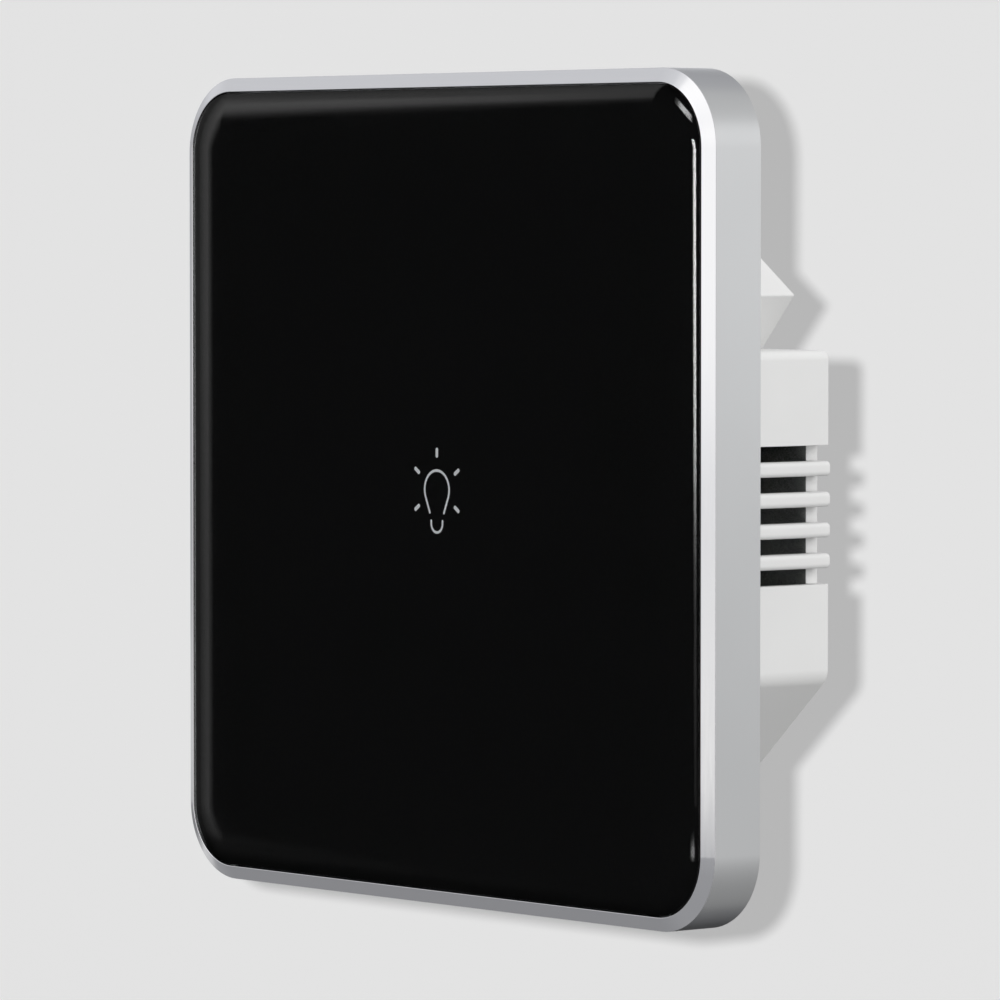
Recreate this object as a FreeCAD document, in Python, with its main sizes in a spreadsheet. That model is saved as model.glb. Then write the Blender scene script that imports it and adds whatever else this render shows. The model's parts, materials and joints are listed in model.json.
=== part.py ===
import FreeCAD, Part
import math
import os
import Sketcher

from FreeCAD import Rotation, Vector

# Touch light switch for a wall box, in millimetres.
# The frame: X to the right seen from the room, Y into the wall, Z up.
# The origin is the panel's centre on the wall's surface, midway between the two wall screws.

SIZES = [
    # Front frame, cut from aluminium
    ("panel_width", 86.0),
    ("panel_height", 86.0),
    ("corner_radius", 8.0),
    ("frame_depth", 6.0),
    ("bevel_width", 1.4),
    ("bevel_depth", 0.72),
    ("frame_lip", 0.1),
    ("frame_wall", 1.2),
    ("shelf_reach", 2.0),
    ("shelf_thickness", 1.0),
    ("shelf_corner", 10.0),
    ("notch_width", 10.0),
    ("notch_depth", 1.0),
    # Glass, its film and its tape
    ("glass_gap", 0.1),
    ("glass_thickness", 2.5),
    ("crown_width", 3.0),
    ("crown_depth", 1.0),
    ("film_thickness", 0.1),
    ("film_margin", 0.2),
    ("tape_thickness", 0.2),
    # The lamp sign
    ("bulb_radius", 2.0),
    ("bulb_line", 0.27),
    ("neck_half_width", 1.15),
    ("neck_drop", 2.37),
    ("cap_half_width", 0.92),
    ("cap_top", 3.22),
    ("cap_drop", 0.27),
    ("ray_line", 0.42),
    ("ray_length", 0.63),
    ("ray_top", 3.84),
    ("ray_side", 3.23),
    ("ray_rise", 1.92),
    ("ray_angle", 34.0),
    # Panel carrier
    ("carrier_gap", 0.2),
    ("rim_thickness", 1.2),
    ("rim_width", 3.7),
    ("rim_corner", 9.0),
    ("tray_width", 30.0),
    ("tray_height", 24.0),
    ("tray_wall", 1.2),
    ("tray_rear", 0.8),
    ("well_hole_radius", 7.0),
    ("lug_width", 10.0),
    ("lug_offset", 20.0),
    ("lug_gap", 0.15),
    ("lug_end", 0.6),
    ("thread_gap", 0.05),
    ("carrier_screw_radius", 1.0),
    ("carrier_screw_head", 1.8),
    ("carrier_screw_inset", 4.9),
    ("board_screw_radius", 0.8),
    ("board_screw_head", 1.5),
    ("board_screw_head_depth", 0.9),
    ("board_screw_length", 3.6),
    ("board_screw_inset", 2.4),
    ("board_post_radius", 1.9),
    ("cross_width", 0.4),
    ("cross_depth", 0.45),
    ("cross_margin", 0.5),
    # Touch board and what it carries
    ("touch_board_thickness", 1.0),
    ("led_width", 3.5),
    ("led_height", 2.8),
    ("led_depth", 1.9),
    ("well_radius", 5.4),
    ("well_wall", 0.7),
    ("spring_radius", 6.2),
    ("spring_wire", 0.5),
    ("spring_turns", 5.0),
    ("radio_x", -5.8),
    ("radio_width", 15.0),
    ("radio_height", 13.0),
    ("radio_board", 0.8),
    ("shield_margin", 1.0),
    ("shield_depth", 1.9),
    ("touch_chip_x", 4.8),
    ("touch_chip_width", 3.9),
    ("touch_chip_height", 9.9),
    ("touch_chip_depth", 1.5),
    ("touch_chip_leads", 7),
    ("header_x", 10.6),
    ("header_pitch", 2.54),
    ("header_strip", 2.5),
    ("header_gap", 0.3),
    ("pin_end_gap", 0.9),
    ("pin_radius", 0.32),
    ("pin_gap", 0.08),
    ("pin_tail", 1.4),
    # Base plate
    ("base_gap", 1.6),
    ("base_corner", 5.0),
    ("base_thickness", 2.4),
    ("base_rim", 1.8),
    ("front_recess", 0.6),
    ("island_margin", 1.8),
    ("seat_depth", 0.6),
    ("seat_gap", 0.2),
    ("opening_gap", 0.6),
    ("opening_corner", 2.0),
    ("slot_spacing", 60.3),
    ("slot_length", 8.0),
    ("slot_radius", 2.2),
    # Rear housing
    ("housing_width", 46.0),
    ("housing_top", 14.35),
    ("housing_bottom", 29.5),
    ("housing_depth", 27.5),
    ("housing_wall", 1.4),
    ("rear_wall", 1.4),
    ("chamfer_width", 10.67),
    ("chamfer_height", 9.7),
    ("chamfer_rounding", 2.2),
    ("top_rounding", 1.0),
    ("rim_rounding", 0.5),
    ("vent_count", 5),
    ("vent_top", 4.5),
    ("vent_height", 1.65),
    ("vent_pitch", 3.2),
    ("vent_front", 6.0),
    ("vent_reach", 2.0),
    ("rib_proud", 0.2),
    ("column_x", 18.6),
    ("column_top", 10.0),
    ("column_bottom", 15.5),
    ("column_radius", 3.2),
    ("boss_radius", 2.5),
    ("long_screw_radius", 1.1),
    ("long_screw_head", 2.1),
    ("long_screw_head_depth", 1.6),
    ("long_screw_recess", 3.6),
    ("long_screw_bite", 6.5),
    ("head_gap", 0.25),
    # Terminal cover, with its V-shaped sides
    ("neck_width", 25.0),
    ("ridge_width", 35.14),
    ("ridge_level", 20.04),
    ("crest_width", 21.44),
    ("crest_level", 25.0),
    ("cover_wall", 1.4),
    ("cover_boss_x", 13.9),
    ("cover_boss_level", 19.9),
    ("cover_boss_radius", 2.0),
    ("cover_boss_length", 8.0),
    ("cover_screw_radius", 0.8),
    ("cover_screw_head", 1.6),
    ("cover_screw_length", 7.5),
    # Power board
    ("board_thickness", 1.6),
    ("board_gap", 0.4),
    ("board_neck_width", 21.0),
    ("board_neck_top", 22.8),
    ("solder_tail", 0.9),
    # Terminals
    ("terminal_pitch", 7.62),
    ("block_width", 22.8),
    ("block_bottom", 15.5),
    ("block_top", 22.5),
    ("block_rear_gap", 0.3),
    ("chamber_width", 5.6),
    ("chamber_bottom", 17.0),
    ("chamber_top", 21.4),
    ("ledge_front", 10.5),
    ("ledge_thickness", 0.9),
    ("driver_radius", 2.4),
    ("wire_radius", 1.7),
    ("wire_level", 3.5),
    ("clamp_gap", 0.1),
    ("clamp_start", 1.1),
    ("clamp_length", 6.9),
    ("clamp_wall", 0.7),
    ("clamp_nut", 1.2),
    ("bar_level", 5.2),
    ("bar_thickness", 0.8),
    ("bar_width", 3.8),
    ("bar_leg_width", 2.0),
    ("terminal_screw_radius", 1.5),
    ("terminal_head_radius", 2.2),
    ("terminal_head_depth", 1.8),
    ("driver_slot_width", 0.7),
    ("driver_slot_depth", 0.9),
    # Relay
    ("relay_x", -15.0),
    ("relay_z", 1.6),
    ("relay_length", 18.4),
    ("relay_height", 10.0),
    ("relay_depth", 12.6),
    ("relay_gap", 2.9),
    ("relay_wall", 0.6),
    ("relay_base", 1.0),
    ("yoke_inset", 0.9),
    ("yoke_thickness", 1.0),
    ("yoke_width", 6.0),
    ("yoke_level", 9.0),
    ("yoke_reach", 14.4),
    ("flange_thickness", 0.8),
    ("flange_size", 7.0),
    ("coil_length", 10.8),
    ("coil_radius", 3.2),
    ("bobbin_radius", 1.7),
    ("core_radius", 1.4),
    ("core_level", 4.8),
    ("pole_radius", 2.0),
    ("pole_thickness", 0.6),
    ("armature_gap", 0.6),
    ("armature_thickness", 0.8),
    ("armature_low", 2.8),
    ("armature_high", 10.1),
    ("leaf_thickness", 0.15),
    ("leaf_width", 3.0),
    ("leaf_low", 1.5),
    ("contact_radius", 0.55),
    ("contact_level", 2.1),
    ("contact_gap", 0.6),
    ("contact_thickness", 0.4),
    ("contact_inset", 0.2),
    ("blade_thickness", 0.3),
    # Power supply parts on the power board
    ("transformer_x", 0.0),
    ("transformer_z", -7.0),
    ("transformer_width", 12.0),
    ("transformer_height", 9.0),
    ("transformer_depth", 9.0),
    ("bobbin_base", 1.5),
    ("core_thickness", 4.5),
    ("core_limb", 2.0),
    ("core_middle", 3.0),
    ("winding_gap", 0.2),
    ("input_capacitor_x", -12.6),
    ("input_capacitor_z", -6.4),
    ("input_capacitor_radius", 4.0),
    ("input_capacitor_length", 11.5),
    ("output_capacitor_x", 11.2),
    ("output_capacitor_z", -6.2),
    ("output_capacitor_radius", 3.15),
    ("output_capacitor_length", 10.5),
    ("capacitor_groove", 0.25),
    ("groove_level", 1.8),
    ("groove_width", 0.8),
    ("film_capacitor_x", 5.0),
    ("film_capacitor_z", 2.0),
    ("film_capacitor_width", 5.0),
    ("film_capacitor_height", 9.6),
    ("film_capacitor_depth", 10.5),
    ("varistor_x", 11.6),
    ("varistor_z", 4.6),
    ("varistor_radius", 3.5),
    ("varistor_thickness", 3.0),
    ("lead_radius", 0.3),
    ("lead_length", 1.5),
    ("fuse_x", -12.5),
    ("fuse_z", -16.4),
    ("fuse_length", 10.0),
    ("fuse_radius", 1.6),
    ("fuse_cap_length", 2.0),
    ("fuse_cap_wall", 0.2),
    ("choke_x", 8.0),
    ("choke_z", -17.0),
    ("choke_radius", 3.4),
    ("choke_core_radius", 1.6),
    ("choke_length", 7.5),
    ("choke_flange", 1.2),
    ("rectifier_x", -4.5),
    ("rectifier_z", -22.6),
    ("rectifier_width", 4.7),
    ("rectifier_height", 3.8),
    ("rectifier_depth", 1.5),
    ("rectifier_leads", 2),
    ("power_chip_x", 3.0),
    ("power_chip_z", -23.2),
    ("power_chip_width", 4.9),
    ("power_chip_height", 3.9),
    ("power_chip_depth", 1.5),
    ("power_chip_leads", 4),
    ("lead_width", 0.45),
    ("lead_reach", 1.0),
    ("lead_height", 0.6),
    ("lead_pitch", 1.27),
]

doc = FreeCAD.newDocument("touch_switch")
sheet = doc.addObject("Spreadsheet::Sheet", "Sizes")
for row, (alias, amount) in enumerate(SIZES, 1):
    sheet.set(f"A{row}", alias)
    sheet.set(f"B{row}", str(amount))
    sheet.setAlias(f"B{row}", alias)
doc.recompute()


class Size:
    """A length held as an expression on the sheet's cells."""

    def __init__(self, text):
        self.text = text

    def __add__(self, other):
        return Size(f"({self.text} + {text_of(other)})")

    def __radd__(self, other):
        return Size(f"({text_of(other)} + {self.text})")

    def __sub__(self, other):
        return Size(f"({self.text} - {text_of(other)})")

    def __rsub__(self, other):
        return Size(f"({text_of(other)} - {self.text})")

    def __mul__(self, other):
        return Size(f"({self.text} * {text_of(other)})")

    def __rmul__(self, other):
        return self * other

    def __truediv__(self, other):
        return Size(f"({self.text} / {text_of(other)})")

    def __neg__(self):
        return Size(f"(0 - {self.text})")


class Cells:
    """Gives each cell of the sheet by its alias."""

    def __getattr__(self, alias):
        return Size(f"Sizes.{alias}")


size = Cells()
nodes = []


def text_of(value):
    """The expression of a size, or of a plain number."""
    return value.text if isinstance(value, Size) else f"({float(value)})"


def number(value):
    """What a size comes to."""
    return float(sheet.evalExpression(text_of(value)))


def root(value):
    """The square root of a size."""
    return Size(f"sqrt({text_of(value)})")


def node(label, shape_object):
    """Marks a finished sub-part and names it."""
    shape_object.Label = label
    nodes.append(shape_object)
    return shape_object


# Sketched outlines on planes across Y


def new_sketch(body, y):
    """A sketch across Y at the given depth; its x is X and its y is Z."""
    sketch = body.newObject("Sketcher::SketchObject", "Outline")
    plane = [feature for feature in body.Origin.OriginFeatures if feature.Role == "XZ_Plane"][0]
    sketch.AttachmentSupport = (plane, "")
    sketch.MapMode = "FlatFace"
    sketch.setExpression("AttachmentOffset.Base.z", text_of(-y if isinstance(y, Size) else Size(str(-y))))
    return sketch


def bind(sketch, kind, *where, value):
    """Adds a dimension to a sketch and ties it to a size."""
    index = sketch.addConstraint(Sketcher.Constraint(kind, *where, number(value)))
    sketch.setExpression(f"Constraints[{index}]", text_of(value))


def pin_point(sketch, element, end, x, z):
    """Ties one end of a sketched line, or a circle's centre, to a place."""
    bind(sketch, "DistanceX", -1, 1, element, end, value=x)
    bind(sketch, "DistanceY", -1, 1, element, end, value=z)


def polygon(points):
    """A closed outline through points."""

    def draw(sketch):
        flat = [Vector(number(x), number(z), 0) for x, z in points]
        count = len(points)
        for index in range(count):
            sketch.addGeometry(Part.LineSegment(flat[index], flat[(index + 1) % count]))
        for index in range(count):
            sketch.addConstraint(Sketcher.Constraint("Coincident", index, 2, (index + 1) % count, 1))
        for index, (x, z) in enumerate(points):
            pin_point(sketch, index, 1, x, z)

    return draw


def rounded(half_x, half_z, radius, x=0.0, z=0.0):
    """A rectangle with round corners about a point."""

    def draw(sketch):
        left, right = number(x - half_x), number(x + half_x)
        low, high = number(z - half_z), number(z + half_z)
        curve = number(radius)
        corners = [
            (right - curve, high - curve),
            (left + curve, high - curve),
            (left + curve, low + curve),
            (right - curve, low + curve),
        ]
        sides = [
            (Vector(right - curve, high, 0), Vector(left + curve, high, 0)),
            (Vector(left, high - curve, 0), Vector(left, low + curve, 0)),
            (Vector(left + curve, low, 0), Vector(right - curve, low, 0)),
            (Vector(right, low + curve, 0), Vector(right, high - curve, 0)),
        ]
        lines = [sketch.addGeometry(Part.LineSegment(start, end)) for start, end in sides]
        arcs = []
        for quarter, (centre_x, centre_z) in enumerate(corners):
            circle = Part.Circle(Vector(centre_x, centre_z, 0), Vector(0, 0, 1), curve)
            start = quarter * math.pi / 2
            arcs.append(sketch.addGeometry(Part.ArcOfCircle(circle, start, start + math.pi / 2)))
        for quarter in range(4):
            sketch.addConstraint(Sketcher.Constraint("Tangent", lines[quarter], 1, arcs[quarter], 2))
            sketch.addConstraint(Sketcher.Constraint("Tangent", lines[quarter], 2, arcs[(quarter + 1) % 4], 1))
            direction = "Horizontal" if quarter % 2 == 0 else "Vertical"
            sketch.addConstraint(Sketcher.Constraint(direction, lines[quarter]))
        for quarter in (1, 2, 3):
            sketch.addConstraint(Sketcher.Constraint("Equal", arcs[0], arcs[quarter]))
        bind(sketch, "Radius", arcs[0], value=radius)
        bind(sketch, "DistanceY", -1, 1, lines[0], 1, value=z + half_z)
        bind(sketch, "DistanceX", -1, 1, lines[1], 1, value=x - half_x)
        bind(sketch, "DistanceY", -1, 1, lines[2], 1, value=z - half_z)
        bind(sketch, "DistanceX", -1, 1, lines[3], 1, value=x + half_x)

    return draw


def rectangle(left, right, low, high):
    """A plain rectangle between four sides."""
    return polygon([(left, low), (right, low), (right, high), (left, high)])


def circles(centres, radius):
    """Equal circles about points."""

    def draw(sketch):
        for x, z in centres:
            centre = Vector(number(x), number(z), 0)
            index = sketch.addGeometry(Part.Circle(centre, Vector(0, 0, 1), number(radius)))
            pin_point(sketch, index, 3, x, z)
            bind(sketch, "Radius", index, value=radius)

    return draw


def capsules(centres, length, radius):
    """Slots with round ends that run along X."""

    def draw(sketch):
        for x, z in centres:
            half = number(length / 2 - radius)
            middle = Vector(number(x), number(z), 0)
            curve = number(radius)
            step = Vector(half, 0, 0)
            rise = Vector(0, curve, 0)
            up = Vector(0, 0, 1)
            top = sketch.addGeometry(Part.LineSegment(middle + step + rise, middle - step + rise))
            left = sketch.addGeometry(
                Part.ArcOfCircle(Part.Circle(middle - step, up, curve), math.pi / 2, 3 * math.pi / 2)
            )
            low = sketch.addGeometry(Part.LineSegment(middle - step - rise, middle + step - rise))
            right = sketch.addGeometry(
                Part.ArcOfCircle(Part.Circle(middle + step, up, curve), -math.pi / 2, math.pi / 2)
            )
            sketch.addConstraint(Sketcher.Constraint("Tangent", top, 2, left, 1))
            sketch.addConstraint(Sketcher.Constraint("Tangent", left, 2, low, 1))
            sketch.addConstraint(Sketcher.Constraint("Tangent", low, 2, right, 1))
            sketch.addConstraint(Sketcher.Constraint("Tangent", right, 2, top, 1))
            pin_point(sketch, left, 3, x - length / 2 + radius, z)
            pin_point(sketch, right, 3, x + length / 2 - radius, z)
            bind(sketch, "Radius", left, value=radius)

    return draw


def new_body(name):
    """A body to build a moulded or machined piece in."""
    return doc.addObject("PartDesign::Body", name)


def add(body, outline, front, rear):
    """Adds material inside an outline, from one depth to another."""
    sketch = new_sketch(body, rear)
    outline(sketch)
    pad = body.newObject("PartDesign::Pad", "Pad")
    pad.Profile = sketch
    pad.setExpression("Length", text_of(rear - front))
    doc.recompute()
    return pad


def take(body, outline, front, rear):
    """Takes material away inside an outline, from one depth to another."""
    before = body.Shape.Volume
    sketch = new_sketch(body, front)
    outline(sketch)
    pocket = body.newObject("PartDesign::Pocket", "Pocket")
    pocket.Profile = sketch
    pocket.setExpression("Length", text_of(rear - front))
    doc.recompute()
    if body.Shape.Volume >= before - 1e-6:
        raise ValueError(f"a pocket of {body.Label} cuts nothing")
    return pocket


def edges_where(shape, wanted):
    """Names of a shape's edges that a test picks."""
    return [f"Edge{index}" for index, edge in enumerate(shape.Edges, 1) if wanted(edge)]


def at_depth(y):
    """A test for edges that lie at one depth."""
    depth = number(y)

    def wanted(edge):
        box = edge.BoundBox
        return abs(box.YMin - depth) < 1e-4 and abs(box.YMax - depth) < 1e-4

    return wanted


def along_depth(points):
    """A test for edges that run along Y through given points."""
    places = [(number(x), number(z)) for x, z in points]

    def wanted(edge):
        box = edge.BoundBox
        if max(box.XLength, box.ZLength) > 1e-4:
            return False
        return any(math.hypot(box.XMin - x, box.ZMin - z) < 1e-3 for x, z in places)

    return wanted


def round_edges(body, wanted, radius):
    """Rounds the edges of a body that a test picks."""
    base = body.Tip
    fillet = body.newObject("PartDesign::Fillet", "Fillet")
    fillet.Base = (base, edges_where(base.Shape, wanted))
    fillet.setExpression("Radius", text_of(radius))
    doc.recompute()
    return fillet


# Plain solids and their joining


def box(name, x, y, z):
    """A block between two sizes on each axis."""
    block = doc.addObject("Part::Box", name)
    for side, (low, high) in zip(("Length", "Width", "Height"), (x, y, z)):
        block.setExpression(side, text_of(high - low))
    for axis, (low, _) in zip("xyz", (x, y, z)):
        block.setExpression(f"Placement.Base.{axis}", text_of(low))
    return block


AXIS_TURNS = {"x": Rotation(Vector(0, 1, 0), 90), "y": Rotation(Vector(1, 0, 0), -90), "z": Rotation()}


def rod(name, axis, radius, centre, start, end):
    """A cylinder along an axis, about a centre given on the other two axes in order."""
    cylinder = doc.addObject("Part::Cylinder", name)
    cylinder.setExpression("Radius", text_of(radius))
    cylinder.setExpression("Height", text_of(end - start))
    cylinder.Placement.Rotation = AXIS_TURNS[axis]
    place = list(centre)
    place.insert("xyz".index(axis), start)
    for letter, value in zip("xyz", place):
        cylinder.setExpression(f"Placement.Base.{letter}", text_of(value))
    return cylinder


def taper(name, radius_start, radius_end, centre, start, end):
    """A cone along Y."""
    cone = doc.addObject("Part::Cone", name)
    cone.setExpression("Radius1", text_of(radius_start))
    cone.setExpression("Radius2", text_of(radius_end))
    cone.setExpression("Height", text_of(end - start))
    cone.Placement.Rotation = AXIS_TURNS["y"]
    for letter, value in zip("xyz", (centre[0], start, centre[1])):
        cone.setExpression(f"Placement.Base.{letter}", text_of(value))
    return cone


def fuse(name, *pieces):
    """Joins solids into one."""
    joined = doc.addObject("Part::MultiFuse", name)
    joined.Shapes = list(pieces)
    joined.Refine = True
    return joined


def group(name, pieces):
    """Keeps separate solids together."""
    grouped = doc.addObject("Part::Compound", name)
    grouped.Links = list(pieces)
    return grouped


def cut(name, base, *tools):
    """Takes solids away from another."""
    tool = tools[0] if len(tools) == 1 else group(f"{name}_tools", tools)
    difference = doc.addObject("Part::Cut", name)
    difference.Base = base
    difference.Tool = tool
    difference.Refine = True
    return difference


def drilled(name, base, radius, centres, start, end):
    """Cuts equal holes along Y."""
    holes = [rod(f"{name}_hole", "y", radius, centre, start, end) for centre in centres]
    return cut(name, base, *holes)


def stroke(name, sketch, line_width, front, depth):
    """A line of even width and round ends drawn along a sketched path, given a depth along Y."""
    outline = doc.addObject("Part::Offset2D", f"{name}_outline")
    outline.Source = sketch
    outline.setExpression("Value", text_of(line_width / 2))
    outline.Mode = "Pipe"
    outline.Fill = True
    solid = doc.addObject("Part::Extrusion", name)
    solid.Base = outline
    solid.DirMode = "Custom"
    solid.Dir = Vector(0, 1, 0)
    solid.setExpression("LengthFwd", text_of(depth))
    solid.Solid = True
    return solid


def corners(half_x, half_z):
    """The four corners of a rectangle about the origin."""
    return [(half_x, half_z), (-half_x, half_z), (-half_x, -half_z), (half_x, -half_z)]


# Levels and half widths that several pieces share

half_x = size.panel_width / 2
half_z = size.panel_height / 2
frame_front = -(size.frame_depth + size.bevel_depth)
opening_inset = size.bevel_width + size.frame_lip
glass_inset = opening_inset + size.glass_gap
glass_front = frame_front - size.crown_depth
glass_rear = glass_front + size.glass_thickness
film_rear = glass_rear + size.film_thickness
shelf_front = film_rear + size.tape_thickness
shelf_rear = shelf_front + size.shelf_thickness
shelf_inset = opening_inset + size.shelf_reach
rim_rear = shelf_rear + size.rim_thickness
base_front = -size.base_thickness
base_inset = size.frame_wall + size.base_gap
seat_front = -size.seat_depth
tray_half_x = size.tray_width / 2
tray_half_z = size.tray_height / 2
touch_board_rear = size.tray_rear + size.touch_board_thickness
housing_half = size.housing_width / 2
chamfer_top = size.chamfer_height - size.housing_bottom
rear_inside = size.housing_depth - size.rear_wall
board_rear = rear_inside - size.relay_gap - size.relay_depth
board_front = board_rear - size.board_thickness
columns = [
    (size.column_x, size.column_top),
    (-size.column_x, size.column_top),
    (-size.column_x, -size.column_bottom),
    (size.column_x, -size.column_bottom),
]
cover_bosses = [(size.cover_boss_x, size.cover_boss_level), (-size.cover_boss_x, size.cover_boss_level)]
touch_screw_places = corners(tray_half_x - size.board_screw_inset, tray_half_z - size.board_screw_inset)
frame_screw_places = corners(half_x - size.carrier_screw_inset, half_z - size.carrier_screw_inset)


def housing_outline(offset):
    """The housing's outline seen along Y, moved inwards by an offset."""
    slant = root(size.chamfer_width * size.chamfer_width + size.chamfer_height * size.chamfer_height)
    side = housing_half - offset
    shoulder = chamfer_top + offset * size.chamfer_width / (slant + size.chamfer_height)
    foot = housing_half - size.chamfer_width - offset * size.chamfer_height / (slant + size.chamfer_width)
    top = size.housing_top - offset
    bottom = offset - size.housing_bottom
    return [(side, top), (-side, top), (-side, shoulder), (-foot, bottom), (foot, bottom), (side, shoulder)]


def cover_outline(margin):
    """The terminal cover's outline seen along Y, with a margin at the sides and top."""
    neck = size.neck_width / 2 + margin
    ridge = size.ridge_width / 2 + margin
    crest = size.crest_width / 2 + margin
    low = size.housing_top
    high = size.crest_level + margin
    level = size.ridge_level
    return [(neck, low), (ridge, level), (crest, high), (-crest, high), (-ridge, level), (-neck, low)]


# Front panel


def make_front_frame():
    """The bevelled aluminium frame, with the shelf that the glass lies on."""
    body = new_body("front_frame_body")
    add(body, rounded(half_x, half_z, size.corner_radius), frame_front, Size("0"))
    base = body.Tip
    bevel = body.newObject("PartDesign::Chamfer", "Bevel")
    bevel.Base = (base, edges_where(base.Shape, at_depth(frame_front)))
    bevel.ChamferType = "Two distances"
    bevel.setExpression("Size", text_of(size.bevel_depth))
    bevel.setExpression("Size2", text_of(size.bevel_width))
    doc.recompute()
    glass_seat = rounded(half_x - opening_inset, half_z - opening_inset, size.corner_radius - opening_inset)
    take(body, glass_seat, frame_front, shelf_front)
    take(body, rounded(half_x - shelf_inset, half_z - shelf_inset, size.shelf_corner), shelf_front, shelf_rear)
    cavity = rounded(half_x - size.frame_wall, half_z - size.frame_wall, size.corner_radius - size.frame_wall)
    take(body, cavity, shelf_rear, Size("0"))
    pilot = size.carrier_screw_radius + size.thread_gap
    take(body, circles(frame_screw_places, pilot), shelf_front, shelf_rear)
    notch = rectangle(
        -size.notch_width / 2, size.notch_width / 2, -half_z - size.frame_wall, size.frame_wall - half_z
    )
    take(body, notch, -size.notch_depth, Size("0"))
    node("front_frame", body)


def make_glass_panel():
    """Flat glass whose front edge falls away in an arc."""
    crown_radius = (size.crown_width * size.crown_width + size.crown_depth * size.crown_depth) / (
        size.crown_depth * 2
    )
    spread = crown_radius - size.crown_width
    blank_rear = glass_front + crown_radius + size.crown_depth
    body = new_body("glass_blank")
    blank = rounded(
        half_x - glass_inset + spread,
        half_z - glass_inset + spread,
        size.corner_radius - glass_inset + spread,
    )
    add(body, blank, glass_front, blank_rear)
    round_edges(body, at_depth(glass_front), crown_radius)
    trim = new_body("glass_trim")
    outline = rounded(half_x - glass_inset, half_z - glass_inset, size.corner_radius - glass_inset)
    add(trim, outline, glass_front, glass_rear)
    glass = doc.addObject("Part::Common", "glass_common")
    glass.Base = body
    glass.Tool = trim
    node("glass_panel", glass)


def sign_sketch(name):
    """A free sketch on the film's front plane."""
    sketch = doc.addObject("Sketcher::SketchObject", name)
    sketch.Placement.Rotation = Rotation(Vector(1, 0, 0), 90)
    sketch.setExpression("Placement.Base.y", text_of(glass_rear))
    return sketch


def bulb_path():
    """The bulb's open outline: an arc and two straight sides that meet it smoothly."""
    sketch = sign_sketch("bulb_path")
    radius = number(size.bulb_radius)
    end = Vector(number(size.neck_half_width), -number(size.neck_drop), 0)
    meeting = math.atan2(end.y, end.x) + math.acos(radius / end.Length)
    circle = Part.Circle(Vector(), Vector(0, 0, 1), radius)
    arc = sketch.addGeometry(Part.ArcOfCircle(circle, meeting, math.pi - meeting))
    touch = Vector(radius * math.cos(meeting), radius * math.sin(meeting), 0)
    mirror = Vector(-1, 1, 1)
    right = sketch.addGeometry(Part.LineSegment(end, touch))
    left = sketch.addGeometry(
        Part.LineSegment(Vector(touch.x * mirror.x, touch.y, 0), Vector(end.x * mirror.x, end.y, 0))
    )
    sketch.addConstraint(Sketcher.Constraint("Tangent", right, 2, arc, 1))
    sketch.addConstraint(Sketcher.Constraint("Tangent", arc, 2, left, 1))
    pin_point(sketch, arc, 3, 0.0, 0.0)
    bind(sketch, "Radius", arc, value=size.bulb_radius)
    pin_point(sketch, right, 1, size.neck_half_width, -size.neck_drop)
    pin_point(sketch, left, 2, -size.neck_half_width, -size.neck_drop)
    return sketch


def cap_path():
    """The bulb's cap: a half circle hanging from two short sides."""
    sketch = sign_sketch("cap_path")
    reach = number(size.cap_half_width)
    top = -number(size.cap_top)
    low = top - number(size.cap_drop)
    circle = Part.Circle(Vector(0, low, 0), Vector(0, 0, 1), reach)
    right = sketch.addGeometry(Part.LineSegment(Vector(reach, top, 0), Vector(reach, low, 0)))
    arc = sketch.addGeometry(Part.ArcOfCircle(circle, math.pi, 2 * math.pi))
    left = sketch.addGeometry(Part.LineSegment(Vector(-reach, low, 0), Vector(-reach, top, 0)))
    sketch.addConstraint(Sketcher.Constraint("Tangent", right, 2, arc, 2))
    sketch.addConstraint(Sketcher.Constraint("Tangent", arc, 1, left, 1))
    pin_point(sketch, arc, 3, 0.0, -size.cap_top - size.cap_drop)
    pin_point(sketch, right, 1, size.cap_half_width, -size.cap_top)
    pin_point(sketch, left, 2, -size.cap_half_width, -size.cap_top)
    return sketch


def ray(index, x, z, angle):
    """One ray of the sign: a short bar with round ends."""
    capsule = new_body(f"ray_{index}_body")
    ray_bar = capsules([(0.0, 0.0)], size.ray_length + size.ray_line, size.ray_line / 2)
    add(capsule, ray_bar, Size("0"), size.film_thickness)
    capsule.Placement.Rotation = Rotation(Vector(0, -1, 0), angle)
    for letter, value in zip("xyz", (x, glass_rear, z)):
        capsule.setExpression(f"Placement.Base.{letter}", text_of(value))
    return capsule


def make_sign_and_film():
    """The lamp sign and the black film that it shows through."""
    strokes = [
        stroke("bulb_line", bulb_path(), size.bulb_line, glass_rear, size.film_thickness),
        stroke("cap_line", cap_path(), size.bulb_line, glass_rear, size.film_thickness),
        ray(1, 0.0, size.ray_top, 90.0),
    ]
    tilt = number(size.ray_angle)
    for index, (side, level) in enumerate(((1, 1), (-1, 1), (-1, -1), (1, -1)), 2):
        strokes.append(ray(index, size.ray_side * side, size.ray_rise * level, tilt * side * level))
    sign = node("icon_print", group("sign_strokes", strokes))
    body = new_body("film_body")
    edge = glass_inset + size.film_margin
    add(body, rounded(half_x - edge, half_z - edge, size.corner_radius - edge), glass_rear, film_rear)
    node("black_film", cut("film_cut", body, sign))


def make_panel_adhesive():
    """The ring of tape that holds the glass to the frame's shelf."""
    body = new_body("tape_body")
    edge = glass_inset + size.film_margin
    add(body, rounded(half_x - edge, half_z - edge, size.corner_radius - edge), film_rear, shelf_front)
    take(body, rounded(half_x - shelf_inset, half_z - shelf_inset, size.shelf_corner), film_rear, shelf_front)
    node("panel_adhesive", body)


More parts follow.
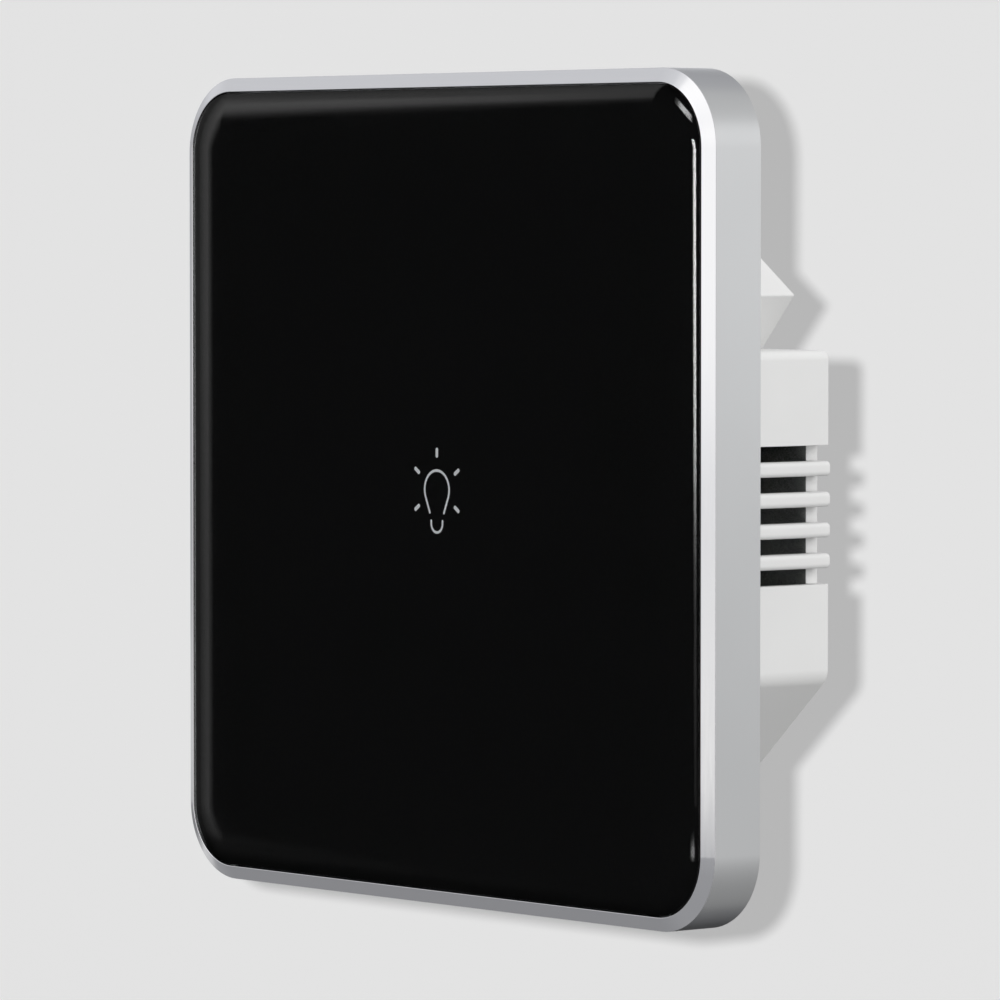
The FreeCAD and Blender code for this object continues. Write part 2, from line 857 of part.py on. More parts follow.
def make_panel_carrier():
    """The moulded inner cover: plate, rim, tray for the touch board and locating lugs."""
    body = new_body("carrier_body")
    edge = shelf_inset + size.carrier_gap
    add(body, rounded(half_x - edge, half_z - edge, size.shelf_corner - size.carrier_gap), film_rear, shelf_rear)
    rim_edge = size.frame_wall + size.carrier_gap
    add(body, rounded(half_x - rim_edge, half_z - rim_edge, size.corner_radius - rim_edge), shelf_rear, rim_rear)
    middle_edge = rim_edge + size.rim_width
    take(body, rounded(half_x - middle_edge, half_z - middle_edge, size.rim_corner), shelf_rear, rim_rear)
    tray = rectangle(-tray_half_x, tray_half_x, -tray_half_z, tray_half_z)
    add(body, tray, shelf_rear, size.tray_rear)
    inner_x = tray_half_x - size.tray_wall
    inner_z = tray_half_z - size.tray_wall
    take(body, rectangle(-inner_x, inner_x, -inner_z, inner_z), shelf_rear, size.tray_rear)
    add(body, circles(touch_screw_places, size.board_post_radius), shelf_rear, size.tray_rear)
    pilot = size.board_screw_radius + size.thread_gap
    take(body, circles(touch_screw_places, pilot), shelf_rear, size.tray_rear)
    take(body, circles([(0.0, 0.0)], size.well_hole_radius), film_rear, shelf_rear)
    lug_in = half_x - base_inset + size.lug_gap
    lug_out = half_x - rim_edge
    for side in (1, -1):
        for level in (size.lug_offset, -size.lug_offset):
            near, far = (lug_in, lug_out) if side > 0 else (-lug_out, -lug_in)
            lug = rectangle(near, far, level - size.lug_width / 2, level + size.lug_width / 2)
            add(body, lug, rim_rear, -size.lug_end)
    sunk = [
        taper(
            "carrier_countersink",
            size.carrier_screw_radius + size.thread_gap,
            size.carrier_screw_head + size.thread_gap,
            centre,
            shelf_rear,
            rim_rear,
        )
        for centre in frame_screw_places
    ]
    node("panel_carrier", cut("carrier_cut", body, *sunk))


def countersunk(name, radius, head_radius, centre, tip, neck, top):
    """A countersunk screw along Y, with a cross slot in its head; tip, neck and top are depths."""
    facing = 1 if number(top) > number(tip) else -1
    if facing > 0:
        shank = rod(f"{name}_shank", "y", radius, centre, tip, neck)
        head = taper(f"{name}_head", radius, head_radius, centre, neck, top)
        slot_y = (top - size.cross_depth, top)
    else:
        shank = rod(f"{name}_shank", "y", radius, centre, neck, tip)
        head = taper(f"{name}_head", head_radius, radius, centre, top, neck)
        slot_y = (top, top + size.cross_depth)
    x, z = centre
    reach = head_radius - size.cross_margin
    width = size.cross_width / 2
    across = box(f"{name}_slot", (x - reach, x + reach), slot_y, (z - width, z + width))
    upright = box(f"{name}_slot", (x - width, x + width), slot_y, (z - reach, z + reach))
    return cut(f"{name}_cut", fuse(f"{name}_whole", shank, head), across, upright)


def make_carrier_screws():
    """Four small screws that hold the carrier to the frame's shelf."""
    screws = [
        countersunk(
            "carrier_screw",
            size.carrier_screw_radius,
            size.carrier_screw_head,
            centre,
            shelf_front,
            shelf_rear,
            rim_rear,
        )
        for centre in frame_screw_places
    ]
    node("carrier_screws", group("carrier_screw_set", screws))


# Touch board and what it carries


def header_places():
    """The eight pins of the plug, in two rows."""
    places = []
    for row in (-0.5, 0.5):
        for step in (-1.5, -0.5, 0.5, 1.5):
            places.append((size.header_x + size.header_pitch * row, size.header_pitch * step))
    return places


def make_touch_board():
    """The circuit board on the tray's rear rim."""
    board = box(
        "touch_board_slab",
        (-tray_half_x, tray_half_x),
        (size.tray_rear, touch_board_rear),
        (-tray_half_z, tray_half_z),
    )
    hole = size.board_screw_radius + size.thread_gap
    holes = [
        rod("touch_board_hole", "y", hole, centre, size.tray_rear, touch_board_rear)
        for centre in touch_screw_places
    ]
    pin_hole = size.pin_radius + size.pin_gap
    holes += [
        rod("touch_board_via", "y", pin_hole, centre, size.tray_rear, touch_board_rear)
        for centre in header_places()
    ]
    node("touch_board", cut("touch_board_cut", board, *holes))


def pan_screw(name, radius, head_radius, head_depth, centre, tip, neck):
    """A screw along Y with a flat round head towards the rear and a cross slot."""
    top = neck + head_depth
    shank = rod(f"{name}_shank", "y", radius, centre, tip, neck)
    head = rod(f"{name}_head", "y", head_radius, centre, neck, top)
    x, z = centre
    reach = head_radius - size.cross_margin
    width = size.cross_width / 2
    slot_y = (top - size.cross_depth, top)
    across = box(f"{name}_slot", (x - reach, x + reach), slot_y, (z - width, z + width))
    upright = box(f"{name}_slot", (x - width, x + width), slot_y, (z - reach, z + reach))
    return cut(f"{name}_cut", fuse(f"{name}_whole", shank, head), across, upright)


def make_touch_board_screws():
    """Four screws that hold the touch board to the tray's posts."""
    screws = [
        pan_screw(
            "touch_board_screw",
            size.board_screw_radius,
            size.board_screw_head,
            size.board_screw_head_depth,
            centre,
            touch_board_rear - size.board_screw_length,
            touch_board_rear,
        )
        for centre in touch_screw_places
    ]
    node("touch_board_screws", group("touch_board_screw_set", screws))


def make_light_parts():
    """The lamp, the white well round it and the touch spring round the well."""
    centre = (0.0, 0.0)
    lamp = box(
        "led_block",
        (-size.led_width / 2, size.led_width / 2),
        (size.tray_rear - size.led_depth, size.tray_rear),
        (-size.led_height / 2, size.led_height / 2),
    )
    node("indicator_led", lamp)
    outer = rod("well_outer", "y", size.well_radius, centre, film_rear, size.tray_rear)
    inner = rod("well_inner", "y", size.well_radius - size.well_wall, centre, film_rear, size.tray_rear)
    node("light_well", cut("well_cut", outer, inner))
    make_touch_spring()


def make_touch_spring():
    """A coil spring of half-circle arcs that climb evenly from the film to the board."""
    wire_radius = number(size.spring_wire / 2)
    radius = number(size.spring_radius)
    start = number(film_rear) + wire_radius
    end = number(size.tray_rear) - wire_radius
    half_turns = int(round(2 * number(size.spring_turns)))
    rise = (end - start) / half_turns
    arcs = []
    for index in range(half_turns):
        side = 1 if index % 2 == 0 else -1
        level = start + rise * index
        arcs.append(
            Part.Arc(
                Vector(radius * side, level, 0),
                Vector(0, level + rise / 2, radius * side),
                Vector(-radius * side, level + rise, 0),
            ).toShape()
        )
    path = Part.Wire(arcs)
    profile = Part.Wire(Part.Circle(Vector(radius, start, 0), Vector(0, 0, 1), wire_radius).toShape())
    spring = doc.addObject("Part::Feature", "touch_spring_feature")
    spring.Shape = path.makePipeShell([profile], True, False)
    print("spring wire gap", round(2 * rise - 2 * wire_radius, 3))
    node("touch_spring", spring)


def chip(name, x, z, width, height, front, rear, leads, leads_on_x):
    """A chip package, its front on the board, with a row of leads on two opposite sides."""
    body = box(f"{name}_body", (x - width / 2, x + width / 2), (front, rear), (z - height / 2, z + height / 2))
    pieces = [body]
    reach = size.lead_reach
    half_lead = size.lead_width / 2
    count = int(number(leads))
    for side in (-1, 1):
        for step in range(count):
            offset = size.lead_pitch * (step - (count - 1) / 2)
            if leads_on_x:
                edge = x + width / 2 * side
                span_x = (edge, edge + reach) if side > 0 else (edge - reach, edge)
                span_z = (z + offset - half_lead, z + offset + half_lead)
            else:
                edge = z + height / 2 * side
                span_x = (x + offset - half_lead, x + offset + half_lead)
                span_z = (edge, edge + reach) if side > 0 else (edge - reach, edge)
            pieces.append(box(f"{name}_lead", span_x, (front, front + size.lead_height), span_z))
    return fuse(f"{name}_whole", *pieces)


def make_radio_and_chip():
    """The touch chip and the radio board with its shield, on the touch board's rear."""
    touch = chip(
        "touch_chip",
        size.touch_chip_x,
        Size("0"),
        size.touch_chip_width,
        size.touch_chip_height,
        touch_board_rear,
        touch_board_rear + size.touch_chip_depth,
        size.touch_chip_leads,
        True,
    )
    node("touch_chip", touch)
    left = size.radio_x - size.radio_width / 2
    right = size.radio_x + size.radio_width / 2
    half = size.radio_height / 2
    radio_rear = touch_board_rear + size.radio_board
    node("wireless_module", box("radio_slab", (left, right), (touch_board_rear, radio_rear), (-half, half)))
    margin = size.shield_margin
    shield = box(
        "shield_block",
        (left + margin * 3, right - margin),
        (radio_rear, radio_rear + size.shield_depth),
        (margin - half, half - margin),
    )
    node("module_shield", shield)


def make_header():
    """The plug that joins the two boards: strip and pins on the panel, socket on the base."""
    half_strip_x = size.header_pitch
    half_strip_z = size.header_pitch * 2
    strip_rear = touch_board_rear + size.header_strip
    socket_front = strip_rear + size.header_gap
    span_x = (size.header_x - half_strip_x, size.header_x + half_strip_x)
    span_z = (-half_strip_z, half_strip_z)
    places = header_places()
    strip = box("strip_block", span_x, (touch_board_rear, strip_rear), span_z)
    strip_cut = drilled("strip_cut", strip, size.pin_radius, places, touch_board_rear, strip_rear)
    node("header_strip", strip_cut)
    pins = [
        rod(
            "header_pin",
            "y",
            size.pin_radius,
            centre,
            size.tray_rear - size.pin_tail,
            board_front - size.pin_end_gap,
        )
        for centre in places
    ]
    node("header_pins", group("header_pin_set", pins))
    socket = box("socket_block", span_x, (socket_front, board_front), span_z)
    bore = size.pin_radius + size.pin_gap
    node("header_socket", drilled("socket_cut", socket, bore, places, socket_front, board_front))
    tail_front = board_front - size.pin_end_gap + size.pin_gap
    tails = [rod("socket_tail", "y", size.pin_radius, centre, tail_front, board_rear) for centre in places]
    node("socket_tails", group("socket_tail_set", tails))


# Base


def make_base_plate():
    """The mounting flange, with two slots for the wall box's screws and four bosses."""
    body = new_body("base_plate_body")
    zero = Size("0")
    plate_x = half_x - base_inset
    plate_z = half_z - base_inset
    add(body, rounded(plate_x, plate_z, size.base_corner), base_front, zero)
    recess = rounded(plate_x - size.base_rim, plate_z - size.base_rim, size.base_corner - size.base_rim)
    recess_rear = base_front + size.front_recess
    take(body, recess, base_front, recess_rear)
    open_x = tray_half_x + size.opening_gap
    open_z = tray_half_z + size.opening_gap
    collar_x = open_x + size.island_margin
    collar_z = open_z + size.island_margin
    add(body, rounded(collar_x, collar_z, size.opening_corner + size.island_margin), base_front, recess_rear)
    slot_places = [(size.slot_spacing / 2, 0.0), (-size.slot_spacing / 2, 0.0)]
    island_radius = size.slot_radius + size.island_margin
    island_length = size.slot_length + size.island_margin * 2
    add(body, capsules(slot_places, island_length, island_radius), base_front, recess_rear)
    cover_pad = size.cover_screw_head + size.island_margin
    add(body, circles(cover_bosses, cover_pad), base_front, recess_rear)
    take(body, polygon(housing_outline(-size.seat_gap)), seat_front, zero)
    take(body, polygon(cover_outline(size.seat_gap)), seat_front, zero)
    take(body, rounded(open_x, open_z, size.opening_corner), base_front, zero)
    take(body, capsules(slot_places, size.slot_length, size.slot_radius), base_front, zero)
    add(body, circles(columns, size.boss_radius), seat_front, board_front)
    pilot = size.long_screw_radius + size.thread_gap
    pilot_front = board_front - size.long_screw_bite - size.head_gap
    take(body, circles(columns, pilot), pilot_front, board_front)
    sunk = [
        taper(
            "cover_countersink",
            size.cover_screw_head + size.thread_gap,
            size.cover_screw_radius + size.thread_gap,
            centre,
            base_front,
            seat_front,
        )
        for centre in cover_bosses
    ]
    node("base_plate", cut("base_plate_cut", body, *sunk))


def make_rear_housing():
    """The moulded box behind the wall's surface, with vents in both sides and four screw columns."""
    outline = housing_outline(Size("0"))
    body = new_body("housing_body")
    add(body, polygon(outline), seat_front, size.housing_depth)
    top_corners = outline[:2]
    chamfer_corners = outline[2:]
    round_edges(body, along_depth(top_corners), size.top_rounding)
    round_edges(body, along_depth(chamfer_corners), size.chamfer_rounding)
    round_edges(body, at_depth(size.housing_depth), size.rim_rounding)
    take(body, polygon(housing_outline(size.housing_wall)), seat_front, rear_inside)
    add(body, circles(columns, size.column_radius), board_rear, rear_inside + size.rear_wall / 2)
    recess_front = size.housing_depth - size.long_screw_recess
    take(body, circles(columns, size.long_screw_radius + size.head_gap), board_rear, size.housing_depth)
    take(body, circles(columns, size.long_screw_head + size.head_gap), recess_front, size.housing_depth)
    neck = size.board_neck_width / 2 + size.board_gap
    notch = rectangle(-neck, neck, size.housing_top - size.housing_wall * 2, size.housing_top + size.housing_wall)
    take(body, notch, seat_front, board_rear + size.board_gap)
    ribs = []
    slots = []
    inner = housing_half - size.housing_wall
    outer = housing_half + size.rib_proud
    reach = housing_half - size.vent_reach
    count = int(number(size.vent_count))
    for side in (1, -1):
        for index in range(count):
            high = size.vent_top - size.vent_pitch * index
            low = high - size.vent_height
            slot_x = (reach, outer) if side > 0 else (-outer, -reach)
            slots.append(box("vent_slot", slot_x, (size.vent_front, size.housing_depth), (low, high)))
            if index < count - 1:
                rib_x = (inner, outer) if side > 0 else (-outer, -inner)
                rib_z = (high - size.vent_pitch, low)
                ribs.append(box("vent_rib", rib_x, (size.vent_front, size.housing_depth), rib_z))
    ribbed = fuse("housing_ribbed", body, *ribs)
    node("rear_housing", cut("housing_vented", ribbed, *slots))


def make_housing_screws():
    """Four long screws: through the housing and the power board into the base plate's bosses."""
    head_seat = size.housing_depth - size.long_screw_recess
    screws = [
        pan_screw(
            "housing_screw",
            size.long_screw_radius,
            size.long_screw_head,
            size.long_screw_head_depth,
            centre,
            board_front - size.long_screw_bite,
            head_seat,
        )
        for centre in columns
    ]
    node("housing_screws", group("housing_screw_set", screws))


def terminal_places():
    """The three terminals' places along X."""
    return [size.terminal_pitch * step for step in (-1, 0, 1)]


wire_depth = board_rear + size.wire_level
terminal_axis = (size.chamber_bottom + size.chamber_top) / 2
block_rear = size.housing_depth - size.cover_wall - size.block_rear_gap
ledge_front = board_rear + size.ledge_front
head_front = ledge_front + size.ledge_thickness + size.thread_gap


def make_terminal_cover():
    """The V-sided cover over the terminals, open towards the base plate and the housing."""
    body = new_body("cover_body")
    add(body, polygon(cover_outline(Size("0"))), seat_front, size.housing_depth)
    base = body.Tip
    shell = body.newObject("PartDesign::Thickness", "Shell")
    open_faces = []
    for index, face in enumerate(base.Shape.Faces, 1):
        facing = face.normalAt(0, 0)
        centre = face.CenterOfMass
        if facing.y < -0.99 or (facing.z < -0.99 and abs(centre.z - number(size.housing_top)) < 1e-3):
            open_faces.append(f"Face{index}")
    shell.Base = (base, open_faces)
    shell.setExpression("Value", text_of(size.cover_wall))
    shell.Reversed = True
    shell.Join = 1
    doc.recompute()
    add(body, circles(cover_bosses, size.cover_boss_radius), seat_front, size.cover_boss_length)
    pilot = size.cover_screw_radius + size.thread_gap
    take(body, circles(cover_bosses, pilot), seat_front, size.cover_boss_length)
    drivers = [(x, terminal_axis) for x in terminal_places()]
    take(body, circles(drivers, size.driver_radius), size.housing_depth - size.cover_wall, size.housing_depth)
    wires = [
        rod(
            "cover_wire_hole",
            "z",
            size.wire_radius,
            (x, wire_depth),
            size.crest_level - size.cover_wall * 1.5,
            size.crest_level + size.cover_wall,
        )
        for x in terminal_places()
    ]
    node("terminal_cover", cut("cover_cut", body, *wires))


def make_cover_screws():
    """Two countersunk screws that hold the terminal cover to the base plate."""
    screws = [
        countersunk(
            "cover_screw",
            size.cover_screw_radius,
            size.cover_screw_head,
            centre,
            base_front + size.cover_screw_length,
            seat_front,
            base_front,
        )
        for centre in cover_bosses
    ]
    node("cover_screws", group("cover_screw_set", screws))


def make_power_board():
    """The mains board, with a neck that reaches up to the terminals."""
    body = new_body("power_board_body")
    inset = size.housing_wall + size.board_gap
    points = housing_outline(inset)
    neck = size.board_neck_width / 2
    top = points[0][1]
    outline = points[:1] + [(neck, top), (neck, size.board_neck_top), (-neck, size.board_neck_top), (-neck, top)]
    add(body, polygon(outline + points[1:]), board_front, board_rear)
    take(body, circles(columns, size.long_screw_radius + size.head_gap), board_front, board_rear)
    take(body, circles(header_places(), size.pin_radius + size.pin_gap), board_front, board_rear)
    legs = [
        box(
            "bar_leg_hole",
            (x - size.bar_leg_width / 2, x + size.bar_leg_width / 2),
            (board_front, board_rear),
            (size.chamber_bottom - size.bar_thickness, size.chamber_bottom),
        )
        for x in terminal_places()
    ]
    node("power_board", cut("power_board_cut", body, *legs))


def make_terminal_block():
    """The moulded block: a chamber, a ledge and a driver hole for each terminal."""
    half = size.block_width / 2
    block = box("block_whole", (-half, half), (board_rear, block_rear), (size.block_bottom, size.block_top))
    tools = []
    for x in terminal_places():
        side = size.chamber_width / 2
        tools.append(
            box(
                "block_chamber",
                (x - side, x + side),
                (board_rear + size.clamp_start - size.clamp_gap, ledge_front),
                (size.chamber_bottom, size.chamber_top),
            )
        )
        centre = (x, terminal_axis)
        shank_hole = size.terminal_screw_radius + size.clamp_gap
        tools.append(rod("block_neck", "y", shank_hole, centre, ledge_front, block_rear))
        ledge_rear = ledge_front + size.ledge_thickness
        tools.append(rod("block_driver", "y", size.driver_radius, centre, ledge_rear, block_rear))
        wire_top = size.block_top + size.clamp_gap
        tools.append(rod("block_wire", "z", size.wire_radius, (x, wire_depth), size.chamber_bottom, wire_top))
        leg = size.bar_leg_width / 2
        low = size.chamber_bottom - size.bar_thickness
        bar_front = board_rear + size.bar_level
        bar_rear = bar_front + size.bar_thickness
        tools.append(box("block_leg", (x - leg, x + leg), (board_rear, bar_rear), (low, size.chamber_bottom)))
    node("terminal_block", cut("block_cut", block, *tools))


def make_contact_bars():
    """Three brass bars: one arm through each clamp and a leg down into the power board."""
    bars = []
    bar_front = board_rear + size.bar_level
    bar_rear = bar_front + size.bar_thickness
    for x in terminal_places():
        half = size.bar_width / 2
        leg = size.bar_leg_width / 2
        low = size.chamber_bottom - size.bar_thickness
        arm_top = size.chamber_top - size.clamp_gap * 2
        arm = box("bar_arm", (x - half, x + half), (bar_front, bar_rear), (size.chamber_bottom, arm_top))
        tail = board_front - size.solder_tail
        upright = box("bar_leg", (x - leg, x + leg), (tail, bar_rear), (low, size.chamber_bottom))
        bars.append(fuse("contact_bar", arm, upright))
    node("contact_bars", group("contact_bar_set", bars))


def make_terminals():
    """The clamps that rise on their screws, and the screws."""
    nut_gap = size.thread_gap
    for index, x in enumerate(terminal_places(), 1):
        half = size.chamber_width / 2 - size.clamp_gap
        front = board_rear + size.clamp_start
        rear = front + size.clamp_length
        low = size.chamber_bottom + size.clamp_gap
        high = size.chamber_top - size.clamp_gap
        cage = box("clamp_block", (x - half, x + half), (front, rear), (low, high))
        inner = half - size.clamp_wall
        window = box(
            "clamp_window",
            (x - inner, x + inner),
            (front + size.clamp_wall, rear - size.clamp_nut),
            (low, high),
        )
        centre = (x, terminal_axis)
        thread_radius = size.terminal_screw_radius + nut_gap
        thread = rod("clamp_thread", "y", thread_radius, centre, rear - size.clamp_nut, rear)
        node(f"wire_clamp_{index}", cut(f"clamp_cut_{index}", cage, window, thread))
        tip = board_rear + size.bar_level + size.bar_thickness + nut_gap
        shank = rod("terminal_shank", "y", size.terminal_screw_radius, centre, tip, head_front)
        top = head_front + size.terminal_head_depth
        head = rod("terminal_head", "y", size.terminal_head_radius, centre, head_front, top)
        slot_y = (top - size.driver_slot_depth, top)
        reach = size.terminal_head_radius
        width = size.driver_slot_width / 2
        slot = box(
            "terminal_slot", (x - reach, x + reach), slot_y, (terminal_axis - width, terminal_axis + width)
        )
        cross_reach = size.terminal_head_radius - size.cross_margin * 2
        cross = box(
            "terminal_cross",
            (x - width, x + width),
            slot_y,
            (terminal_axis - cross_reach, terminal_axis + cross_reach),
        )
        whole = fuse(f"terminal_whole_{index}", shank, head)
        node(f"terminal_screw_{index}", cut(f"terminal_cut_{index}", whole, slot, cross))


# Relay, laid along X on the power board

relay_right = size.relay_x + size.relay_length
relay_top = size.relay_z + size.relay_height
relay_middle = size.relay_z + size.relay_height / 2
relay_floor = board_rear + size.relay_base
relay_rear = board_rear + size.relay_depth
yoke_left = size.relay_x + size.yoke_inset
flange_left = yoke_left + size.yoke_thickness
coil_left = flange_left + size.flange_thickness
coil_right = coil_left + size.coil_length
flange_right = coil_right + size.flange_thickness
pole_right = flange_right + size.pole_thickness
armature_left = pole_right + size.armature_gap
armature_right = armature_left + size.armature_thickness
core_depth = board_rear + size.core_level
core_centre = (core_depth, relay_middle)


def centred(level, width):
    """A span of the given width about a level."""
    return (level - width / 2, level + width / 2)


def make_relay_shell():
    """The relay's base and its case."""
    wall = size.relay_wall
    base = box(
        "relay_base_block",
        (size.relay_x + wall, relay_right - wall),
        (board_rear, relay_floor),
        (size.relay_z + wall, relay_top - wall),
    )
    node("relay_base", base)
    whole = box(
        "relay_case_block",
        (size.relay_x, relay_right),
        (board_rear, relay_rear),
        (size.relay_z, relay_top),
    )
    hollow = box(
        "relay_case_hollow",
        (size.relay_x + wall, relay_right - wall),
        (board_rear, relay_rear - wall),
        (size.relay_z + wall, relay_top - wall),
    )
    node("relay_case", cut("relay_case_cut", whole, hollow))


def make_relay_magnet():
    """Bobbin, coil, core and yoke."""
    flange_y = centred(core_depth, size.flange_size)
    flange_z = centred(relay_middle, size.flange_size)
    left = box("bobbin_left", (flange_left, coil_left), flange_y, flange_z)
    right = box("bobbin_right", (coil_right, flange_right), flange_y, flange_z)
    tube = rod("bobbin_tube", "x", size.bobbin_radius, core_centre, flange_left, flange_right)
    foot_z = centred(relay_middle, size.leaf_width)
    foot = box("bobbin_foot", (flange_left, coil_left), (relay_floor, core_depth), foot_z)
    bore = rod("bobbin_bore", "x", size.core_radius, core_centre, flange_left, flange_right)
    node("relay_bobbin", cut("bobbin_cut", fuse("bobbin_whole", left, right, tube, foot), bore))
    winding = rod("coil_outer", "x", size.coil_radius, core_centre, coil_left, coil_right)
    hole = rod("coil_hole", "x", size.bobbin_radius, core_centre, coil_left, coil_right)
    node("relay_coil", cut("coil_cut", winding, hole))
    core = rod("core_rod", "x", size.core_radius, core_centre, flange_left, flange_right)
    pole = rod("core_pole", "x", size.pole_radius, core_centre, flange_right, pole_right)
    node("relay_core", fuse("core_whole", core, pole))
    yoke_z = centred(relay_middle, size.yoke_width)
    plate_front = board_rear + size.yoke_level
    plate_rear = plate_front + size.yoke_thickness
    leg = box("yoke_leg", (yoke_left, flange_left), (relay_floor, plate_rear), yoke_z)
    plate = box("yoke_plate", (flange_left, yoke_left + size.yoke_reach), (plate_front, plate_rear), yoke_z)
    node("relay_yoke", fuse("yoke_whole", leg, plate))


def make_relay_contacts():
    """The armature with its leaf and moving contact, and the fixed contact on its blade."""
    armature = box(
        "armature_plate",
        (armature_left, armature_right),
        (board_rear + size.armature_low, board_rear + size.armature_high),
        centred(relay_middle, size.yoke_width),
    )
    node("relay_armature", armature)
    leaf_right = armature_right + size.leaf_thickness
    contact_depth = board_rear + size.contact_level
    contact_centre = (contact_depth, relay_middle)
    leaf = box(
        "leaf_strip",
        (armature_right, leaf_right),
        (board_rear + size.leaf_low, board_rear + size.armature_high),
        centred(relay_middle, size.leaf_width),
    )
    moving_left = armature_left + size.contact_inset
    rivet = rod("moving_rivet", "x", size.contact_radius, contact_centre, moving_left, armature_right)
    node("relay_contact_spring", fuse("leaf_whole", leaf, rivet))
    fixed_right = moving_left - size.contact_gap
    fixed_left = fixed_right - size.contact_thickness
    fixed = rod("fixed_rivet", "x", size.contact_radius, contact_centre, fixed_left, fixed_right)
    blade = box(
        "fixed_blade",
        (fixed_left - size.blade_thickness, fixed_left),
        (board_rear + size.relay_base, contact_depth + size.contact_radius),
        centred(relay_middle, size.leaf_width),
    )
    node("relay_fixed_contact", fuse("fixed_whole", blade, fixed))


# Power supply parts


def make_transformer():
    """A ferrite core round a wound bobbin, standing on the bobbin's base."""
    x = size.transformer_x
    z = size.transformer_z
    base_rear = board_rear + size.bobbin_base
    rear = base_rear + size.transformer_depth
    span_x = centred(x, size.transformer_width)
    base = box("transformer_base", span_x, (board_rear, base_rear), centred(z, size.transformer_height))
    node("transformer_bobbin", base)
    core_z = centred(z, size.core_thickness)
    core = box("ferrite_block", span_x, (base_rear, rear), core_z)
    limb = size.core_limb
    window_y = (base_rear + limb, rear - limb)
    window = box("ferrite_window", (span_x[0] + limb, span_x[1] - limb), window_y, core_z)
    middle = box("ferrite_limb", centred(x, size.core_middle), window_y, core_z)
    node("transformer_core", fuse("ferrite_whole", cut("ferrite_cut", core, window), middle))
    gap = size.winding_gap
    winding = box(
        "winding_block",
        (span_x[0] + limb + gap, span_x[1] - limb - gap),
        (window_y[0] + gap, window_y[1] - gap),
        centred(z, size.transformer_height - gap),
    )
    space = box("winding_space", centred(x, size.core_middle), window_y, core_z)
    node("transformer_winding", cut("winding_cut", winding, space))


def can_capacitor(name, x, z, radius, length):
    """A round can with the rolled groove near its foot."""
    rear = board_rear + length
    can = rod(f"{name}_can", "y", radius, (x, z), board_rear, rear)
    groove_front = board_rear + size.groove_level
    groove_y = (groove_front, groove_front + size.groove_width)
    ring = rod(f"{name}_ring", "y", radius + size.capacitor_groove, (x, z), groove_y[0], groove_y[1])
    waist = rod(f"{name}_waist", "y", radius - size.capacitor_groove, (x, z), groove_y[0], groove_y[1])
    return cut(f"{name}_cut", can, cut(f"{name}_groove", ring, waist))


def make_capacitors():
    """Two cans and one moulded block."""
    node(
        "input_capacitor",
        can_capacitor(
            "input_can",
            size.input_capacitor_x,
            size.input_capacitor_z,
            size.input_capacitor_radius,
            size.input_capacitor_length,
        ),
    )
    node(
        "output_capacitor",
        can_capacitor(
            "output_can",
            size.output_capacitor_x,
            size.output_capacitor_z,
            size.output_capacitor_radius,
            size.output_capacitor_length,
        ),
    )
    block = box(
        "film_capacitor_block",
        (size.film_capacitor_x, size.film_capacitor_x + size.film_capacitor_width),
        (board_rear, board_rear + size.film_capacitor_depth),
        (size.film_capacitor_z, size.film_capacitor_z + size.film_capacitor_height),
    )
    node("suppression_capacitor", block)


def make_varistor():
    """A disc on two leads."""
    x = size.varistor_x
    z = size.varistor_z
    centre_depth = board_rear + size.lead_length + size.varistor_radius
    disc = rod(
        "varistor_disc", "x", size.varistor_radius, (centre_depth, z), x, x + size.varistor_thickness
    )
    middle = x + size.varistor_thickness / 2
    leads = [
        rod("varistor_lead", "y", size.lead_radius, (middle, z + offset), board_rear, centre_depth)
        for offset in (size.header_pitch, -size.header_pitch)
    ]
    node("varistor", fuse("varistor_whole", disc, *leads))


def make_fuse():
    """A ceramic tube between two end caps, lying on the board."""
    radius = size.fuse_radius
    centre = (board_rear + radius, size.fuse_z)
    left = size.fuse_x
    right = size.fuse_x + size.fuse_length
    tube_radius = radius - size.fuse_cap_wall
    tube = rod("fuse_tube", "x", tube_radius, centre, left + size.fuse_cap_wall, right - size.fuse_cap_wall)
    node("fuse_body", tube)
    caps = []
    for start, end, inner in (
        (left, left + size.fuse_cap_length, (left + size.fuse_cap_wall, left + size.fuse_cap_length)),
        (right - size.fuse_cap_length, right, (right - size.fuse_cap_length, right - size.fuse_cap_wall)),
    ):
        cap = rod("fuse_cap", "x", radius, centre, start, end)
        hollow = rod("fuse_cap_hollow", "x", tube_radius, centre, inner[0], inner[1])
        caps.append(cut("fuse_cap_cut", cap, hollow))
    node("fuse_caps", group("fuse_cap_set", caps))


def make_choke():
    """A drum core with its winding."""
    centre = (size.choke_x, size.choke_z)
    rear = board_rear + size.choke_length
    foot = board_rear + size.choke_flange
    head = rear - size.choke_flange
    drum = fuse(
        "drum_whole",
        rod("drum_foot", "y", size.choke_radius, centre, board_rear, foot),
        rod("drum_stem", "y", size.choke_core_radius, centre, board_rear, rear),
        rod("drum_head", "y", size.choke_radius, centre, head, rear),
    )
    node("choke_core", drum)
    wound = rod("choke_wound", "y", size.choke_radius - size.winding_gap, centre, foot, head)
    stem = rod("choke_stem", "y", size.choke_core_radius, centre, foot, head)
    node("choke_winding", cut("choke_cut", wound, stem))


def make_power_chips():
    """The rectifier and the supply chip."""
    rectifier = chip(
        "rectifier",
        size.rectifier_x,
        size.rectifier_z,
        size.rectifier_width,
        size.rectifier_height,
        board_rear,
        board_rear + size.rectifier_depth,
        size.rectifier_leads,
        False,
    )
    node("rectifier", rectifier)
    supply = chip(
        "power_chip",
        size.power_chip_x,
        size.power_chip_z,
        size.power_chip_width,
        size.power_chip_height,
        board_rear,
        board_rear + size.power_chip_depth,
        size.power_chip_leads,
        False,
    )
    node("power_chip", supply)


